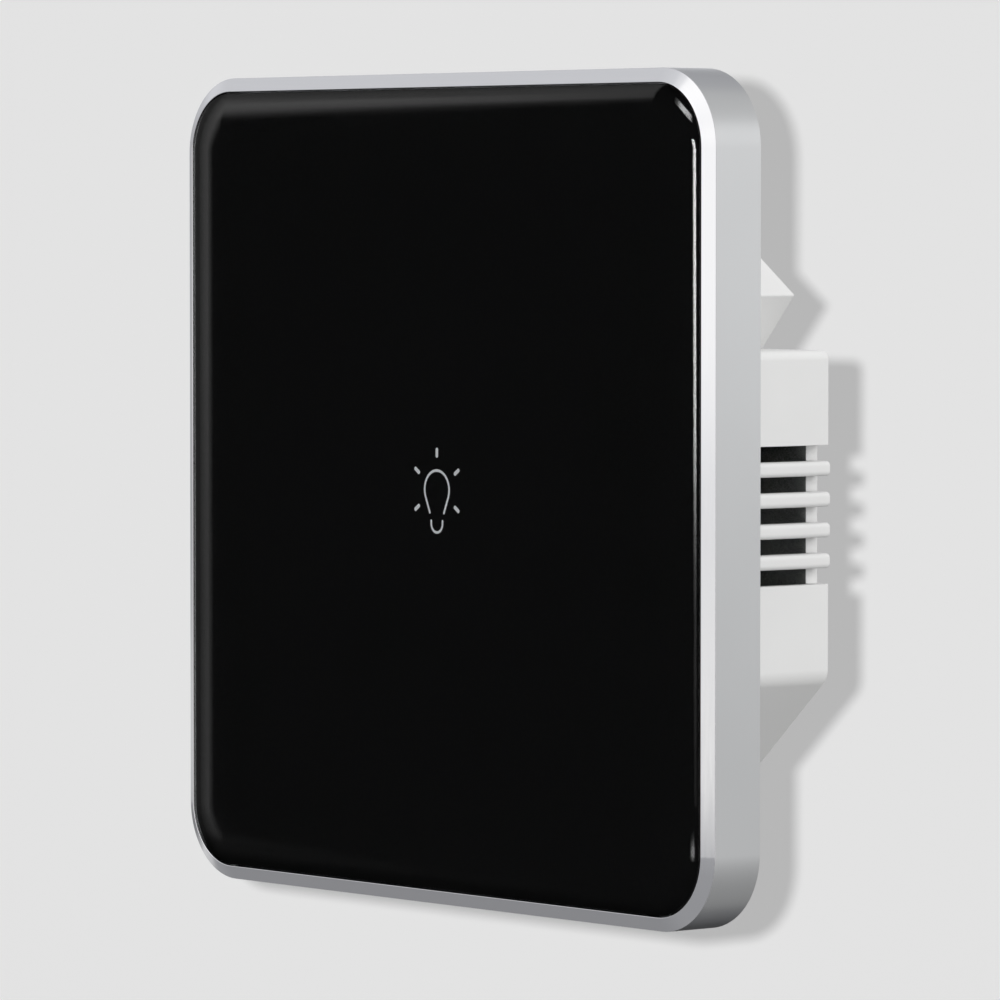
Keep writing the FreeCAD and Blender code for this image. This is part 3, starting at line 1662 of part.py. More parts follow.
def check_model():
    """Stops where an object failed or a sub-part is empty or not a valid solid."""
    doc.recompute()
    for thing in doc.Objects:
        if "Invalid" in thing.State or "Error" in thing.State:
            raise ValueError(f"{thing.Label} failed: {thing.State}")
    for thing in nodes:
        shape = thing.Shape
        if shape.isNull() or not shape.isValid() or not shape.Solids:
            raise ValueError(f"{thing.Label} has no valid solid")


def write_parts():
    """Writes one file for each sub-part."""
    os.makedirs("parts", exist_ok=True)
    for thing in nodes:
        thing.Shape.exportStep(f"parts/{thing.Label}.step")
    print("sub-parts", len(nodes))


make_front_frame()
make_glass_panel()
make_sign_and_film()
make_panel_adhesive()
make_panel_carrier()
make_carrier_screws()
make_touch_board()
make_touch_board_screws()
make_light_parts()
make_radio_and_chip()
make_header()
make_base_plate()
make_rear_housing()
make_housing_screws()
make_terminal_cover()
make_cover_screws()
make_power_board()
make_terminal_block()
make_contact_bars()
make_terminals()
make_relay_shell()
make_relay_magnet()
make_relay_contacts()
make_transformer()
make_capacitors()
make_varistor()
make_fuse()
make_choke()
make_power_chips()
check_model()
write_parts()
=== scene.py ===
import json
import math

import bmesh
import bpy
from mathutils import Matrix, Vector


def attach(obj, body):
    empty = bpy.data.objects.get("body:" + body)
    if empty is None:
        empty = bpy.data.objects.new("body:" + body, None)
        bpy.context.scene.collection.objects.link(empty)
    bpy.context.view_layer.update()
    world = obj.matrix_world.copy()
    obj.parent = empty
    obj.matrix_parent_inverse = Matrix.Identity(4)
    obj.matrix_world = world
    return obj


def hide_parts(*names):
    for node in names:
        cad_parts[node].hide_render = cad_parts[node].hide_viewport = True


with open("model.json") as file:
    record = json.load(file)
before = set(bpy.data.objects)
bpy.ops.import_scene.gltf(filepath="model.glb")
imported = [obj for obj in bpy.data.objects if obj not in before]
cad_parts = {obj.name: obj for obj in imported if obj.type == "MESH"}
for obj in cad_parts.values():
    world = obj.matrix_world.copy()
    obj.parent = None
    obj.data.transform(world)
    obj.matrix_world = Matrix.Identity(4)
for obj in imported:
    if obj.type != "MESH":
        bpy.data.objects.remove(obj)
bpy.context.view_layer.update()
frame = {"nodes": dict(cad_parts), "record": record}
nodes = frame["nodes"]
scene = bpy.context.scene
MM = 0.001

# Levels of the CAD model, in millimetres. X runs to the right, Y into the wall and Z up. The wall's
# surface is Y = 0, and the panel's middle is X = Z = 0.
HALF = 43.0
CORNER = 8.0
EDGE_FRONT = -6.0
BEVEL_FRONT = -6.72
GLASS_FRONT = -7.72
GLASS_REAR = -5.22
SHELF_FRONT = -4.92
SHELF_REAR = -3.92
SLEEVE_REAR = 21.9


# Materials

# Inputs and output of a Mix node that mixes colours
MIX_FACTOR = 0
MIX_FIRST = 6
MIX_SECOND = 7
MIX_RESULT = 2

# Most of a noise lies between these.
NOISE_LOW = 0.3
NOISE_HIGH = 0.7

# The period of a wave texture of scale 1
WAVE_PERIOD = 2 * math.pi / 20


def add_node(tree, kind, **values):
    """Adds a shader node and sets its properties."""
    made = tree.nodes.new("ShaderNode" + kind)
    for key, value in values.items():
        setattr(made, key, value)
    return made


def set_stops(ramp, stops):
    """Fills a colour ramp with soft stops of grey, each a (place, level)."""
    ramp.color_ramp.interpolation = "EASE"
    while len(ramp.color_ramp.elements) < len(stops):
        ramp.color_ramp.elements.new(0.5)
    for element, (place, level) in zip(ramp.color_ramp.elements, stops):
        element.position = place
        element.color = (level, level, level, 1)


class Finish:
    """A node material under construction."""

    def __init__(self, name):
        self.material = bpy.data.materials.new(name)
        self.material.use_nodes = True
        self.tree = self.material.node_tree
        self.shader = self.tree.nodes["Principled BSDF"]
        self.output = self.tree.nodes["Material Output"]
        self.place = self.node("TexCoord").outputs["Object"]

    def node(self, kind, **values):
        return add_node(self.tree, kind, **values)

    def join(self, source, target):
        self.tree.links.new(source, target)

    def feed(self, socket, value):
        """Gives a socket a constant or another node's output."""
        if isinstance(value, bpy.types.NodeSocket):
            self.join(value, socket)
        else:
            socket.default_value = value

    def put(self, **values):
        """Sets sockets of the main shader, named with _ for a space."""
        for key, value in values.items():
            self.feed(self.shader.inputs[key.replace("_", " ")], value)

    def mapped(self, place, scale=(1, 1, 1), turn=(0, 0, 0)):
        """Coordinates that are scaled and turned."""
        mapping = self.node("Mapping")
        mapping.inputs["Scale"].default_value = scale
        mapping.inputs["Rotation"].default_value = turn
        self.join(place, mapping.inputs["Vector"])
        return mapping.outputs[0]

    def noise(self, per_mm, detail, rough=0.55, stretch=None):
        made = self.node("TexNoise")
        made.inputs["Scale"].default_value = per_mm / MM
        made.inputs["Detail"].default_value = detail
        made.inputs["Roughness"].default_value = rough
        place = self.mapped(self.place, stretch) if stretch else self.place
        self.join(place, made.inputs["Vector"])
        return made.outputs["Fac"]

    def cells(self, per_mm, randomness=1.0, place=None):
        """The distance to the middle of the nearest cell."""
        made = self.node("TexVoronoi")
        made.inputs["Scale"].default_value = per_mm / MM
        made.inputs["Randomness"].default_value = randomness
        self.join(place or self.place, made.inputs["Vector"])
        return made.outputs["Distance"]

    def bands(self, per_mm, axis, profile="SIN", distortion=0.0):
        made = self.node("TexWave", bands_direction=axis, wave_profile=profile)
        made.inputs["Scale"].default_value = per_mm * WAVE_PERIOD / MM
        made.inputs["Distortion"].default_value = distortion
        made.inputs["Detail"].default_value = 1.0
        self.join(self.place, made.inputs["Vector"])
        return made.outputs["Fac"]

    def axis(self, letter):
        split = self.node("SeparateXYZ")
        self.join(self.place, split.inputs[0])
        return split.outputs[letter]

    def span(self, value, low, high, to_low=0.0, to_high=1.0):
        """Maps low..high to to_low..to_high."""
        made = self.node("MapRange")
        self.join(value, made.inputs["Value"])
        for key, amount in (("From Min", low), ("From Max", high), ("To Min", to_low), ("To Max", to_high)):
            made.inputs[key].default_value = amount
        return made.outputs[0]

    def vary(self, noise, low, high):
        """A number that a noise moves between low and high."""
        return self.span(noise, NOISE_LOW, NOISE_HIGH, low, high)

    def math(self, operation, first, second):
        made = self.node("Math", operation=operation)
        for socket, value in zip(made.inputs, (first, second)):
            self.feed(socket, value)
        return made.outputs[0]

    def blend(self, factor, first, second, way="MIX"):
        """Mixes two colours, each a triple or another node's output, by a factor."""
        made = self.node("Mix", data_type="RGBA", blend_type=way)
        self.feed(made.inputs[MIX_FACTOR], factor)
        for index, value in ((MIX_FIRST, first), (MIX_SECOND, second)):
            self.feed(made.inputs[index], (*value, 1) if isinstance(value, tuple) else value)
        return made.outputs[MIX_RESULT]

    def shades(self, value, colour, darker, lighter):
        """A colour that wanders between a darker and a lighter share of itself."""
        low = tuple(min(1, c * darker) for c in colour)
        high = tuple(min(1, c * lighter) for c in colour)
        return self.blend(self.vary(value, 0.0, 1.0), low, high)

    def relief(self, height, depth_mm, strength, under=None):
        made = self.node("Bump")
        made.inputs["Strength"].default_value = strength
        made.inputs["Distance"].default_value = depth_mm * MM
        self.join(height, made.inputs["Height"])
        if under:
            self.join(under, made.inputs["Normal"])
        return made.outputs[0]

    def painted_crevice_shade(self, reach_mm, open_from, deepest):
        """Painted shade: a share that falls where other surfaces stand close in front, as in slots and
        corners.
        """
        made = self.node("AmbientOcclusion", samples=8)
        made.inputs["Distance"].default_value = reach_mm * MM
        return self.span(made.outputs["AO"], open_from * 0.5, open_from, deepest, 1.0)

    def soft_edges(self, radius_mm):
        made = self.node("Bevel", samples=4)
        made.inputs["Radius"].default_value = radius_mm * MM
        return made.outputs[0]


def moulded(name, colour, rough, grain, depth, wander, edge, specular=0.4):
    """Moulded plastic: a fine spark-eroded grain, a slow drift of shade and softened edges."""
    f = Finish(name)
    fine = f.noise(grain, 4.0)
    slow = f.noise(0.09, 2.0)
    pits = f.relief(fine, depth, 0.5, f.soft_edges(edge))
    f.put(
        Base_Color=f.shades(slow, colour, 1 - wander, 1 + wander * 0.6),
        Roughness=f.vary(fine, rough - 0.07, rough + 0.07),
        Normal=f.relief(slow, 0.05, 0.25, pits),
        Specular_IOR_Level=specular,
    )
    return f


def shell_plastic(name, colour):
    """The housing's white plastic: a fine matt grain, with painted shade greying its slots and corners."""
    f = moulded(name, colour, rough=0.5, grain=4.5, depth=0.008, wander=0.015, edge=0.14, specular=0.35)
    base = f.shader.inputs["Base Color"].links[0].from_socket
    # Painted shade: the base colour darkens where the housing is closed in, in its slots, hollow and corners.
    shade = f.painted_crevice_shade(reach_mm=22.0, open_from=0.24, deepest=0.02)
    f.put(Base_Color=f.blend(1.0, base, shade, "MULTIPLY"))
    return f


def plated(name, colour, rough, grain, stretch, depth=0.004, wander=0.06, edge=0.06):
    """Plated or drawn metal: faint drawn lines, uneven gloss and a few duller spots."""
    f = Finish(name)
    drawn = f.noise(grain, 3.0, stretch=stretch)
    dull = f.noise(0.7, 4.0, 0.6)
    f.put(
        Base_Color=f.shades(dull, colour, 1 - wander, 1 + wander * 0.5),
        Metallic=1.0,
        Roughness=f.span(dull, 0.25, 0.75, rough - 0.07, rough + 0.12),
        Normal=f.relief(drawn, depth, 0.6, f.soft_edges(edge)),
    )
    return f


def make_frame_metal():
    """Bead-blasted anodised aluminium with a bright diamond-cut bevel in front of the frame's side."""
    f = Finish("frame_metal")
    cut = f.span(f.axis("Y"), (EDGE_FRONT - 0.04) * MM, (EDGE_FRONT + 0.01) * MM, 1.0, 0.0)
    uncut = f.math("SUBTRACT", 1.0, cut)
    blasted = f.noise(7.0, 3.0)
    cloudy = f.noise(0.05, 2.0)
    fine_cut = f.noise(5.0, 2.0, stretch=(0.04, 1.0, 0.04))
    satin_gloss = f.math("MULTIPLY", f.vary(blasted, 0.3, 0.38), uncut)
    cut_gloss = f.math("MULTIPLY", f.vary(fine_cut, 0.05, 0.09), cut)
    satin = f.shades(cloudy, (0.745, 0.755, 0.765), 0.98, 1.01)
    f.put(
        Base_Color=f.blend(cut, satin, (0.9, 0.905, 0.91)),
        Metallic=1.0,
        Roughness=f.math("ADD", satin_gloss, cut_gloss),
        Normal=f.relief(f.math("MULTIPLY", blasted, uncut), 0.006, 0.35),
    )
    return f


def make_clear_glass(name, wiped_face):
    """Clear tempered glass: its face has the faint unevenness of wiping, its ground rim is sharp."""
    f = Finish(name)
    wiped = f.noise(0.15, 3.0, stretch=(1.0, 1.0, 0.35))
    f.put(
        Base_Color=f.shades(wiped, (0.93, 0.95, 0.95), 0.985, 1.0),
        Roughness=f.vary(wiped, 0.006, 0.013) if wiped_face else 0.0,
        Transmission_Weight=1.0,
        IOR=1.5,
    )
    return f


def make_black_print(name):
    """Opaque black ink, with the very faint mottle of a screen print."""
    f = Finish(name)
    mottle = f.noise(3.0, 3.0)
    f.put(
        Base_Color=f.shades(mottle, (0.0118, 0.0118, 0.012), 0.93, 1.07),
        Roughness=f.vary(mottle, 0.5, 0.65),
        Specular_IOR_Level=0.0,
    )
    return f


def make_sign_print():
    """Translucent white ink: a screen's fine dots and a little light from behind."""
    f = Finish("sign_print")
    dots = f.cells(9.0, randomness=0.25)
    cloud = f.noise(1.2, 2.0)
    f.put(
        Base_Color=f.shades(cloud, (0.78, 0.78, 0.79), 0.95, 1.03),
        Roughness=f.span(dots, 0.0, 0.6, 0.45, 0.6),
        Specular_IOR_Level=0.0,
        Emission_Color=(0.93, 0.95, 1.0, 1),
        Emission_Strength=0.2,
    )
    return f


def make_circuit(name, mask, track, line_mm, pad_mm):
    """Solder mask over copper: paler raised tracks, and vias as small tinned dots."""
    f = Finish(name)
    flat = f.mapped(f.place, scale=(1, 0, 1))
    brick = f.node("TexBrick", offset=0.37, squash=0.7, squash_frequency=3)
    brick.inputs["Scale"].default_value = 1 / (line_mm * MM) * 0.45
    brick.inputs["Mortar Size"].default_value = 0.055
    for key, level in (("Color1", 0), ("Color2", 0.25), ("Mortar", 1)):
        brick.inputs[key].default_value = (level, level, level, 1)
    f.join(f.mapped(flat, turn=(math.radians(90), 0, 0)), brick.inputs["Vector"])
    tracks = f.span(brick.outputs["Color"], 0.3, 0.9)
    via = f.span(f.cells(1 / pad_mm, place=flat), 0.1, 0.13, 1.0, 0.0)
    weave = f.noise(2.5, 2.0)
    printed = f.blend(tracks, f.shades(weave, mask, 0.86, 1.1), track)
    height = f.math("ADD", tracks, f.math("MULTIPLY", via, 1.2))
    f.put(
        Base_Color=f.blend(via, printed, (0.62, 0.6, 0.56)),
        Metallic=f.math("MULTIPLY", via, 0.9),
        Roughness=f.vary(weave, 0.28, 0.4),
        Normal=f.relief(height, 0.03, 0.5),
    )
    return f


def make_copper_wire():
    """Enamelled wire laid turn on turn, with painted shade darkening it towards the grooves between turns."""
    f = Finish("copper_wire")
    colour = (0.66, 0.29, 0.12)
    turn_relief_and_shade = f.bands(5.0, "X")
    f.put(
        # Painted shade: the base colour darkens towards the grooves between turns.
        Base_Color=f.blend(f.span(turn_relief_and_shade, 0.05, 0.6), tuple(c * 0.35 for c in colour), colour),
        Metallic=0.85,
        Roughness=f.vary(f.noise(0.9, 2.0), 0.24, 0.4),
        Normal=f.relief(turn_relief_and_shade, 0.05, 0.8),
    )
    return f


def make_winding_tape():
    """Layers of thin polyester tape, with edges that show as fine steps."""
    f = Finish("winding_tape")
    layers = f.bands(1.2, "X", "SAW", 0.6)
    drift = f.noise(0.6, 3.0)
    f.put(
        Base_Color=f.shades(drift, (0.85, 0.6, 0.06), 0.85, 1.08),
        Roughness=f.vary(drift, 0.22, 0.36),
        Normal=f.relief(layers, 0.03, 0.5, f.soft_edges(0.25)),
        Coat_Weight=0.3,
    )
    return f


def make_sleeve():
    """Dark shrink sleeve on a can, with a bare aluminium end."""
    f = Finish("capacitor_sleeve")
    ripple = f.noise(0.5, 3.0)
    end = f.span(f.axis("Y"), (SLEEVE_REAR - 0.05) * MM, (SLEEVE_REAR + 0.05) * MM)
    sleeve = f.shades(ripple, (0.03, 0.04, 0.08), 0.8, 1.3)
    f.put(
        Base_Color=f.blend(end, sleeve, (0.75, 0.76, 0.77)),
        Metallic=end,
        Roughness=f.vary(ripple, 0.25, 0.42),
        Normal=f.relief(ripple, 0.06, 0.5, f.soft_edges(0.2)),
    )
    return f


# Colour, roughness, grain per mm, depth of the grain in mm, wander of the shade, softened edge in mm and,
# where it isn't the usual one, the specular level
MOULDED = {
    "tape": ((0.03, 0.03, 0.033), 0.8, 2.5, 0.06, 0.15, 0.02, 0.2),
    "inner_plastic": ((0.1, 0.1, 0.105), 0.55, 3.5, 0.015, 0.08, 0.1),
    "well_plastic": ((0.9, 0.9, 0.89), 0.45, 5.0, 0.006, 0.02, 0.08),
    "chip_black": ((0.022, 0.022, 0.024), 0.5, 6.0, 0.006, 0.12, 0.08),
    "lamp_lens": ((0.86, 0.8, 0.5), 0.2, 2.0, 0.003, 0.06, 0.2),
    "connector_plastic": ((0.03, 0.03, 0.032), 0.42, 3.0, 0.008, 0.1, 0.06),
    "terminal_plastic": ((0.55, 0.57, 0.58), 0.5, 4.0, 0.01, 0.04, 0.1),
    "relay_plastic": ((0.02, 0.07, 0.26), 0.32, 1.5, 0.006, 0.08, 0.2),
    "bobbin_plastic": ((0.76, 0.73, 0.62), 0.5, 3.0, 0.01, 0.05, 0.08),
    "ferrite": ((0.06, 0.06, 0.064), 0.62, 2.6, 0.03, 0.2, 0.12),
    "film_capacitor_case": ((0.72, 0.53, 0.07), 0.34, 1.2, 0.01, 0.07, 0.2),
    "varistor_coating": ((0.03, 0.11, 0.34), 0.3, 0.8, 0.05, 0.1, 0.5),
    "ceramic": ((0.86, 0.84, 0.78), 0.22, 1.5, 0.006, 0.04, 0.1),
}

# Colour, roughness, grain per mm, stretch of the drawn lines and, where they aren't the usual ones, the
# lines' depth in mm, the wander of the shade and the softened edge in mm
PLATED = {
    "steel": ((0.66, 0.67, 0.69), 0.3, 3.0, (1, 0.2, 1)),
    "spring_steel": ((0.72, 0.71, 0.68), 0.2, 4.0, (1, 0.3, 1)),
    "shield_metal": ((0.74, 0.74, 0.74), 0.26, 1.4, (1, 1, 0.1), 0.006, 0.05, 0.2),
    "contact_metal": ((0.8, 0.62, 0.32), 0.22, 2.5, (1, 0.2, 1)),
    "soft_iron": ((0.58, 0.58, 0.59), 0.34, 2.0, (0.3, 1, 1)),
    "fuse_metal": ((0.78, 0.78, 0.78), 0.18, 2.0, (0.3, 1, 1)),
}

# Colours of the solder mask and the tracks, width of the tracks and pitch of the vias in mm
CIRCUITS = {
    "circuit_board": ((0.012, 0.13, 0.055), (0.03, 0.21, 0.095), 0.9, 2.2),
    "radio_circuit_board": ((0.012, 0.028, 0.1), (0.03, 0.06, 0.17), 0.6, 1.6),
}


def dress():
    """Gives every CAD node the finish of its slot, and returns each slot's material."""
    made = {
        "frame_metal": make_frame_metal(),
        "clear_glass": make_clear_glass("clear_glass", True),
        "black_print": make_black_print("black_print"),
        "sign_print": make_sign_print(),
        "housing_plastic": shell_plastic("housing_plastic", (0.86, 0.86, 0.855)),
        "copper_wire": make_copper_wire(),
        "winding_tape": make_winding_tape(),
        "capacitor_sleeve": make_sleeve(),
    }
    for make, table in ((moulded, MOULDED), (plated, PLATED), (make_circuit, CIRCUITS)):
        for slot, values in table.items():
            made[slot] = make(slot, *values)
    slot_of = {part["node"]: part["material_slot"] for part in frame["record"]["subparts"]}
    for name, piece in nodes.items():
        finish = made[slot_of[name]].material
        for place in piece.material_slots:
            place.material = finish
        if not piece.material_slots:
            piece.data.materials.append(finish)
    return {slot: finish.material for slot, finish in made.items()}


# Mesh building. Shapes are drawn in millimetres.

# Steps of a rounded rim, and the least rounding of a corner
RIM_STEPS = 5
SHARP = 0.04


def ring(inset, y, steps, radius=None, extra=()):
    """Points of a rounded square, a given distance inside the panel's outline.

    steps is the count of each corner's steps, and extra holds places of more points on the lower side.
    """
    side = HALF - inset
    curve = max(CORNER - inset if radius is None else radius, 0.05)
    middle = side - curve
    points = []
    for quarter, (sx, sz) in enumerate(((1, 1), (-1, 1), (-1, -1), (1, -1))):
        for step in range(steps + 1):
            angle = math.pi / 2 * (quarter + step / steps)
            points.append((sx * middle + curve * math.cos(angle), y, sz * middle + curve * math.sin(angle)))
        if quarter == 2:
            points += [(x, y, -side) for x in extra]
    return points


def rounded_path(points, steps=3):
    """Corners given as (place, place, rounding) become short arcs."""
    path = []
    count = len(points)
    for index, (u, v, radius) in enumerate(points):
        if radius <= 0:
            path.append((u, v))
            continue
        here = Vector((u, v))
        before = (Vector(points[index - 1][:2]) - here).normalized()
        after = (Vector(points[(index + 1) % count][:2]) - here).normalized()
        half = before.angle(after) / 2
        reach = radius / math.tan(half)
        centre = here + (before + after).normalized() * (radius / math.sin(half))
        start = here + before * reach - centre
        end = here + after * reach - centre
        for step in range(steps + 1):
            turn = start.slerp(end, step / steps, start)
            path.append(tuple(centre + turn.normalized() * radius))
    return path


def mesh_of(name, fill, scale=1.0):
    """The mesh that a fill function draws, with its normals outwards."""
    shape = bmesh.new()
    fill(shape)
    bmesh.ops.recalc_face_normals(shape, faces=shape.faces)
    for vertex in shape.verts:
        vertex.co *= scale
    mesh = bpy.data.meshes.new(name)
    shape.to_mesh(mesh)
    shape.free()
    return mesh


def add_object(name, data):
    made = bpy.data.objects.new(name, data)
    scene.collection.objects.link(made)
    return made


def mesh_piece(name, build, slot, body, *replaced, smooth=30):
    """Makes a piece with its slot's material and ties it to its body; smooth is in degrees."""
    mesh = mesh_of(name, build, MM)
    for face in mesh.polygons:
        face.use_smooth = True
    mesh.set_sharp_from_angle(angle=math.radians(smooth))
    mesh.materials.append(finishes[slot])
    piece = add_object(name, mesh)
    weigh = piece.modifiers.new("flat_faces", "WEIGHTED_NORMAL")
    weigh.keep_sharp = True
    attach(piece, body)
    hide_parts(*replaced)
    return piece


def skin(shape, loops, closed=False):
    """Joins loops of equal count with quads; closed joins the last to the first, or else caps both."""
    rows = [[shape.verts.new(point) for point in loop] for loop in loops]
    pairs = list(zip(rows, rows[1:]))
    if closed:
        pairs.append((rows[-1], rows[0]))
    for first, second in pairs:
        count = len(first)
        for index in range(count):
            after = (index + 1) % count
            shape.faces.new((first[index], first[after], second[after], second[index]))
    if not closed:
        shape.faces.new(rows[0])
        shape.faces.new(rows[-1])


# The frame: insets from the panel's outline, and the notch in its lower rear edge. Its points lie on both
# sides of the notch's ends.
FRAME_STEPS = 20
BEVEL_INSET = 1.4
LIP_INSET = 1.5
WALL_INSET = 1.2
SHELF_INSET = 3.5
SHELF_CORNER = 10.0
NOTCH_HALF = 4.99
NOTCH_FRONT = -1.0
NOTCH_ENDS = (-5.04, -5.0, -4.96, 4.96, 5.0, 5.04)


def build_frame(shape):
    """The frame's section, as (inset, depth, rounding), swept round the panel, with its notch."""
    section = rounded_path([
        (0.0, 0.0, 0.18),
        (0.0, EDGE_FRONT, 0.07),
        (BEVEL_INSET, BEVEL_FRONT, 0.02),
        (BEVEL_INSET + 0.05, BEVEL_FRONT + 0.03, 0.02),
        (LIP_INSET, BEVEL_FRONT + 0.25, 0.04),
        (LIP_INSET, SHELF_FRONT, 0.0),
        (SHELF_INSET, SHELF_FRONT, 0.1),
        (SHELF_INSET, SHELF_REAR, 0.1),
        (WALL_INSET, SHELF_REAR, 0.15),
        (WALL_INSET, 0.0, 0.18),
    ])
    loops = []
    for inset, y in section:
        share = min(max((inset - LIP_INSET) / (SHELF_INSET - LIP_INSET), 0.0), 1.0)
        radius = CORNER - inset + (SHELF_CORNER - (CORNER - SHELF_INSET)) * share
        loop = ring(inset, y, FRAME_STEPS, radius, NOTCH_ENDS)
        if inset < WALL_INSET + 0.1:
            notched = min(y, NOTCH_FRONT)
            loop = [(x, notched if abs(x) < NOTCH_HALF and z < 0 else y, z) for x, _, z in loop]
        loops.append(loop)
    skin(shape, loops, closed=True)


# The glass: the crown starts CROWN from its edge and falls by CROWN_DEPTH. From row RIM_START on, the
# ground rim begins. Its material, and that of the printed edge, come after the face's.
GLASS_STEPS = 32
GLASS_EDGE = 1.6
CROWN = 5.4
CROWN_DEPTH = 1.0
CROWN_ROWS = 36
CROWN_SHARE = 0.985
RIM_START = 24
EDGE_PRINT, RIM = 1, 2


def glass_section():
    """The glass's section from its flat front to its rear: (inset, depth, outward tilt in degrees)."""
    section = []
    for step in range(CROWN_ROWS + 1):
        part = CROWN_SHARE * step / CROWN_ROWS
        slope = 3 * CROWN_DEPTH / CROWN * part ** 2
        section.append((
            GLASS_EDGE + CROWN * (1 - part),
            GLASS_FRONT + CROWN_DEPTH * part ** 3,
            math.degrees(math.atan(slope)),
        ))
    wall = GLASS_FRONT + CROWN_DEPTH
    section.append((GLASS_EDGE + 0.018, wall + 0.02, 62.0))
    section.append((GLASS_EDGE, wall + 0.07, 90.0))
    section.append((GLASS_EDGE, GLASS_REAR - 0.06, 90.0))
    section.append((GLASS_EDGE + 0.07, GLASS_REAR + 0.01, 135.0))
    return section


def build_glass(shape):
    """Flat glass whose front edge falls away ever more steeply over its last 5.4 mm."""
    section = glass_section()
    skin(shape, [ring(inset, y, GLASS_STEPS) for inset, y, _ in section])
    steep = section[RIM_START][1]
    wall = (section[CROWN_ROWS + 1][1] + section[CROWN_ROWS + 2][1]) / 2
    for face in shape.faces:
        middle = face.calc_center_median()
        if len(face.verts) == 4 and middle.y > steep:
            face.material_index = EDGE_PRINT if middle.y > wall else RIM


def polish_glass(piece):
    """Gives each point of the glass the normal of the true surface, so that reflections run clean."""
    normals = []
    for _, _, tilt in glass_section():
        t = math.radians(tilt)
        for quarter in range(4):
            for step in range(GLASS_STEPS + 1):
                angle = math.pi / 2 * (quarter + step / GLASS_STEPS)
                normals.append((math.sin(t) * math.cos(angle), -math.cos(t), math.sin(t) * math.sin(angle)))
    piece.modifiers.clear()
    piece.data.normals_split_custom_set_from_vertices(normals)


def inward(corners, distance):
    """The corners of a convex outline, given anticlockwise, moved inwards."""
    moved = []
    count = len(corners)
    for index in range(count):
        before, here, after = (Vector(corners[(index + step) % count]) for step in (-1, 0, 1))
        first = (here - before).normalized()
        second = (after - here).normalized()
        across = Vector((-first.y, first.x))
        middle = (across + Vector((-second.y, second.x))).normalized()
        moved.append(here + middle * (distance / middle.dot(across)))
    return moved


def outline(corners, radii, inset, y, steps):
    """A loop at a depth y round an outline whose corners are rounded."""
    corners = zip(inward(corners, inset), radii)
    path = rounded_path([(here.x, here.y, max(radius - inset, SHARP)) for here, radius in corners], steps)
    return [(u, y, v) for u, v in path]


def prism(shape, corners, radii, front, rear, rear_rounding, steps=8):
    """A solid along Y over an outline with rounded corners, its rear rim rounded off."""
    levels = [(0.0, front)]
    for step in range(RIM_STEPS + 1):
        turn = math.pi / 2 * step / RIM_STEPS
        levels.append((rear_rounding * (1 - math.cos(turn)), rear - rear_rounding * (1 - math.sin(turn))))
    skin(shape, [outline(corners, radii, inset, y, steps) for inset, y in levels])


def slab(shape, x, y, z):
    """A plain block between pairs of coordinates, used to cut."""
    corners = [(x[0], z[0]), (x[1], z[0]), (x[1], z[1]), (x[0], z[1])]
    skin(shape, [[(u, depth, v) for u, v in corners] for depth in y])


def turned(shape, centre, steps_along, axis="Y", sides=32):
    """A round solid of stepped radius: (radius, place along the axis) from one end to the other."""
    loops = []
    for radius, place in steps_along:
        loop = []
        for index in range(sides):
            angle = 2 * math.pi * index / sides
            u = centre[0] + radius * math.cos(angle)
            v = centre[1] + radius * math.sin(angle)
            loop.append((u, place, v) if axis == "Y" else (u, v, place))
        loops.append(loop)
    skin(shape, loops)


def worked(shape, start, *operations):
    """Fills a mesh with a starting solid after cuts (DIFFERENCE) and joins (UNION) of others."""
    whole = add_object("whole", mesh_of("whole", start))
    for operation, fill in operations:
        tool = add_object("tool", mesh_of("tool", fill))
        work = whole.modifiers.new("work", "BOOLEAN")
        work.operation = operation
        work.solver = "EXACT"
        work.object = tool
        bpy.context.view_layer.update()
        ready = whole.evaluated_get(bpy.context.evaluated_depsgraph_get())
        mesh = bpy.data.meshes.new_from_object(ready)
        whole.modifiers.clear()
        spent = whole.data
        whole.data = mesh
        bpy.data.meshes.remove(spent)
        bpy.data.meshes.remove(tool.data)
    shape.from_mesh(whole.data)
    bpy.data.meshes.remove(whole.data)
    bmesh.ops.remove_doubles(shape, verts=shape.verts, dist=0.0005)


# The housing: outlines as (X, Z) corners, depths along Y. PAST is how far a cutter runs past what it cuts.
PAST = 1.0
SIDE = 23.0
HOUSING = [(SIDE, -19.8), (SIDE, 14.35), (-SIDE, 14.35), (-SIDE, -19.8), (-12.33, -29.5), (12.33, -29.5)]
HOUSING_ROUNDING = [2.2, 1.0, 1.0, 2.2, 2.2, 2.2]
HOUSING_WALL = 1.4
SEAT = -0.6
REAR = 27.5
REAR_INSIDE = 25.9
BOARD_REAR = 10.6
COLUMNS = [(18.6, 10.0), (-18.6, 10.0), (-18.6, -15.5), (18.6, -15.5)]
COLUMN_RADIUS = 3.2
SCREW_RADIUS = 1.35
HEAD_RADIUS = 2.35
HEAD_DEPTH = 3.6
BOARD_NOTCH = ((-10.9, 10.9), (11.55, 15.75))
VENT_TOP = 4.5
VENT_HEIGHT = 1.65
VENT_PITCH = 3.2
VENT_FRONT = 6.0
VENT_REACH = 2.0
VENT_COUNT = 5
RIB_IN = 21.3
RIB_OUT = 23.2
RIB_ROUNDING = 0.5


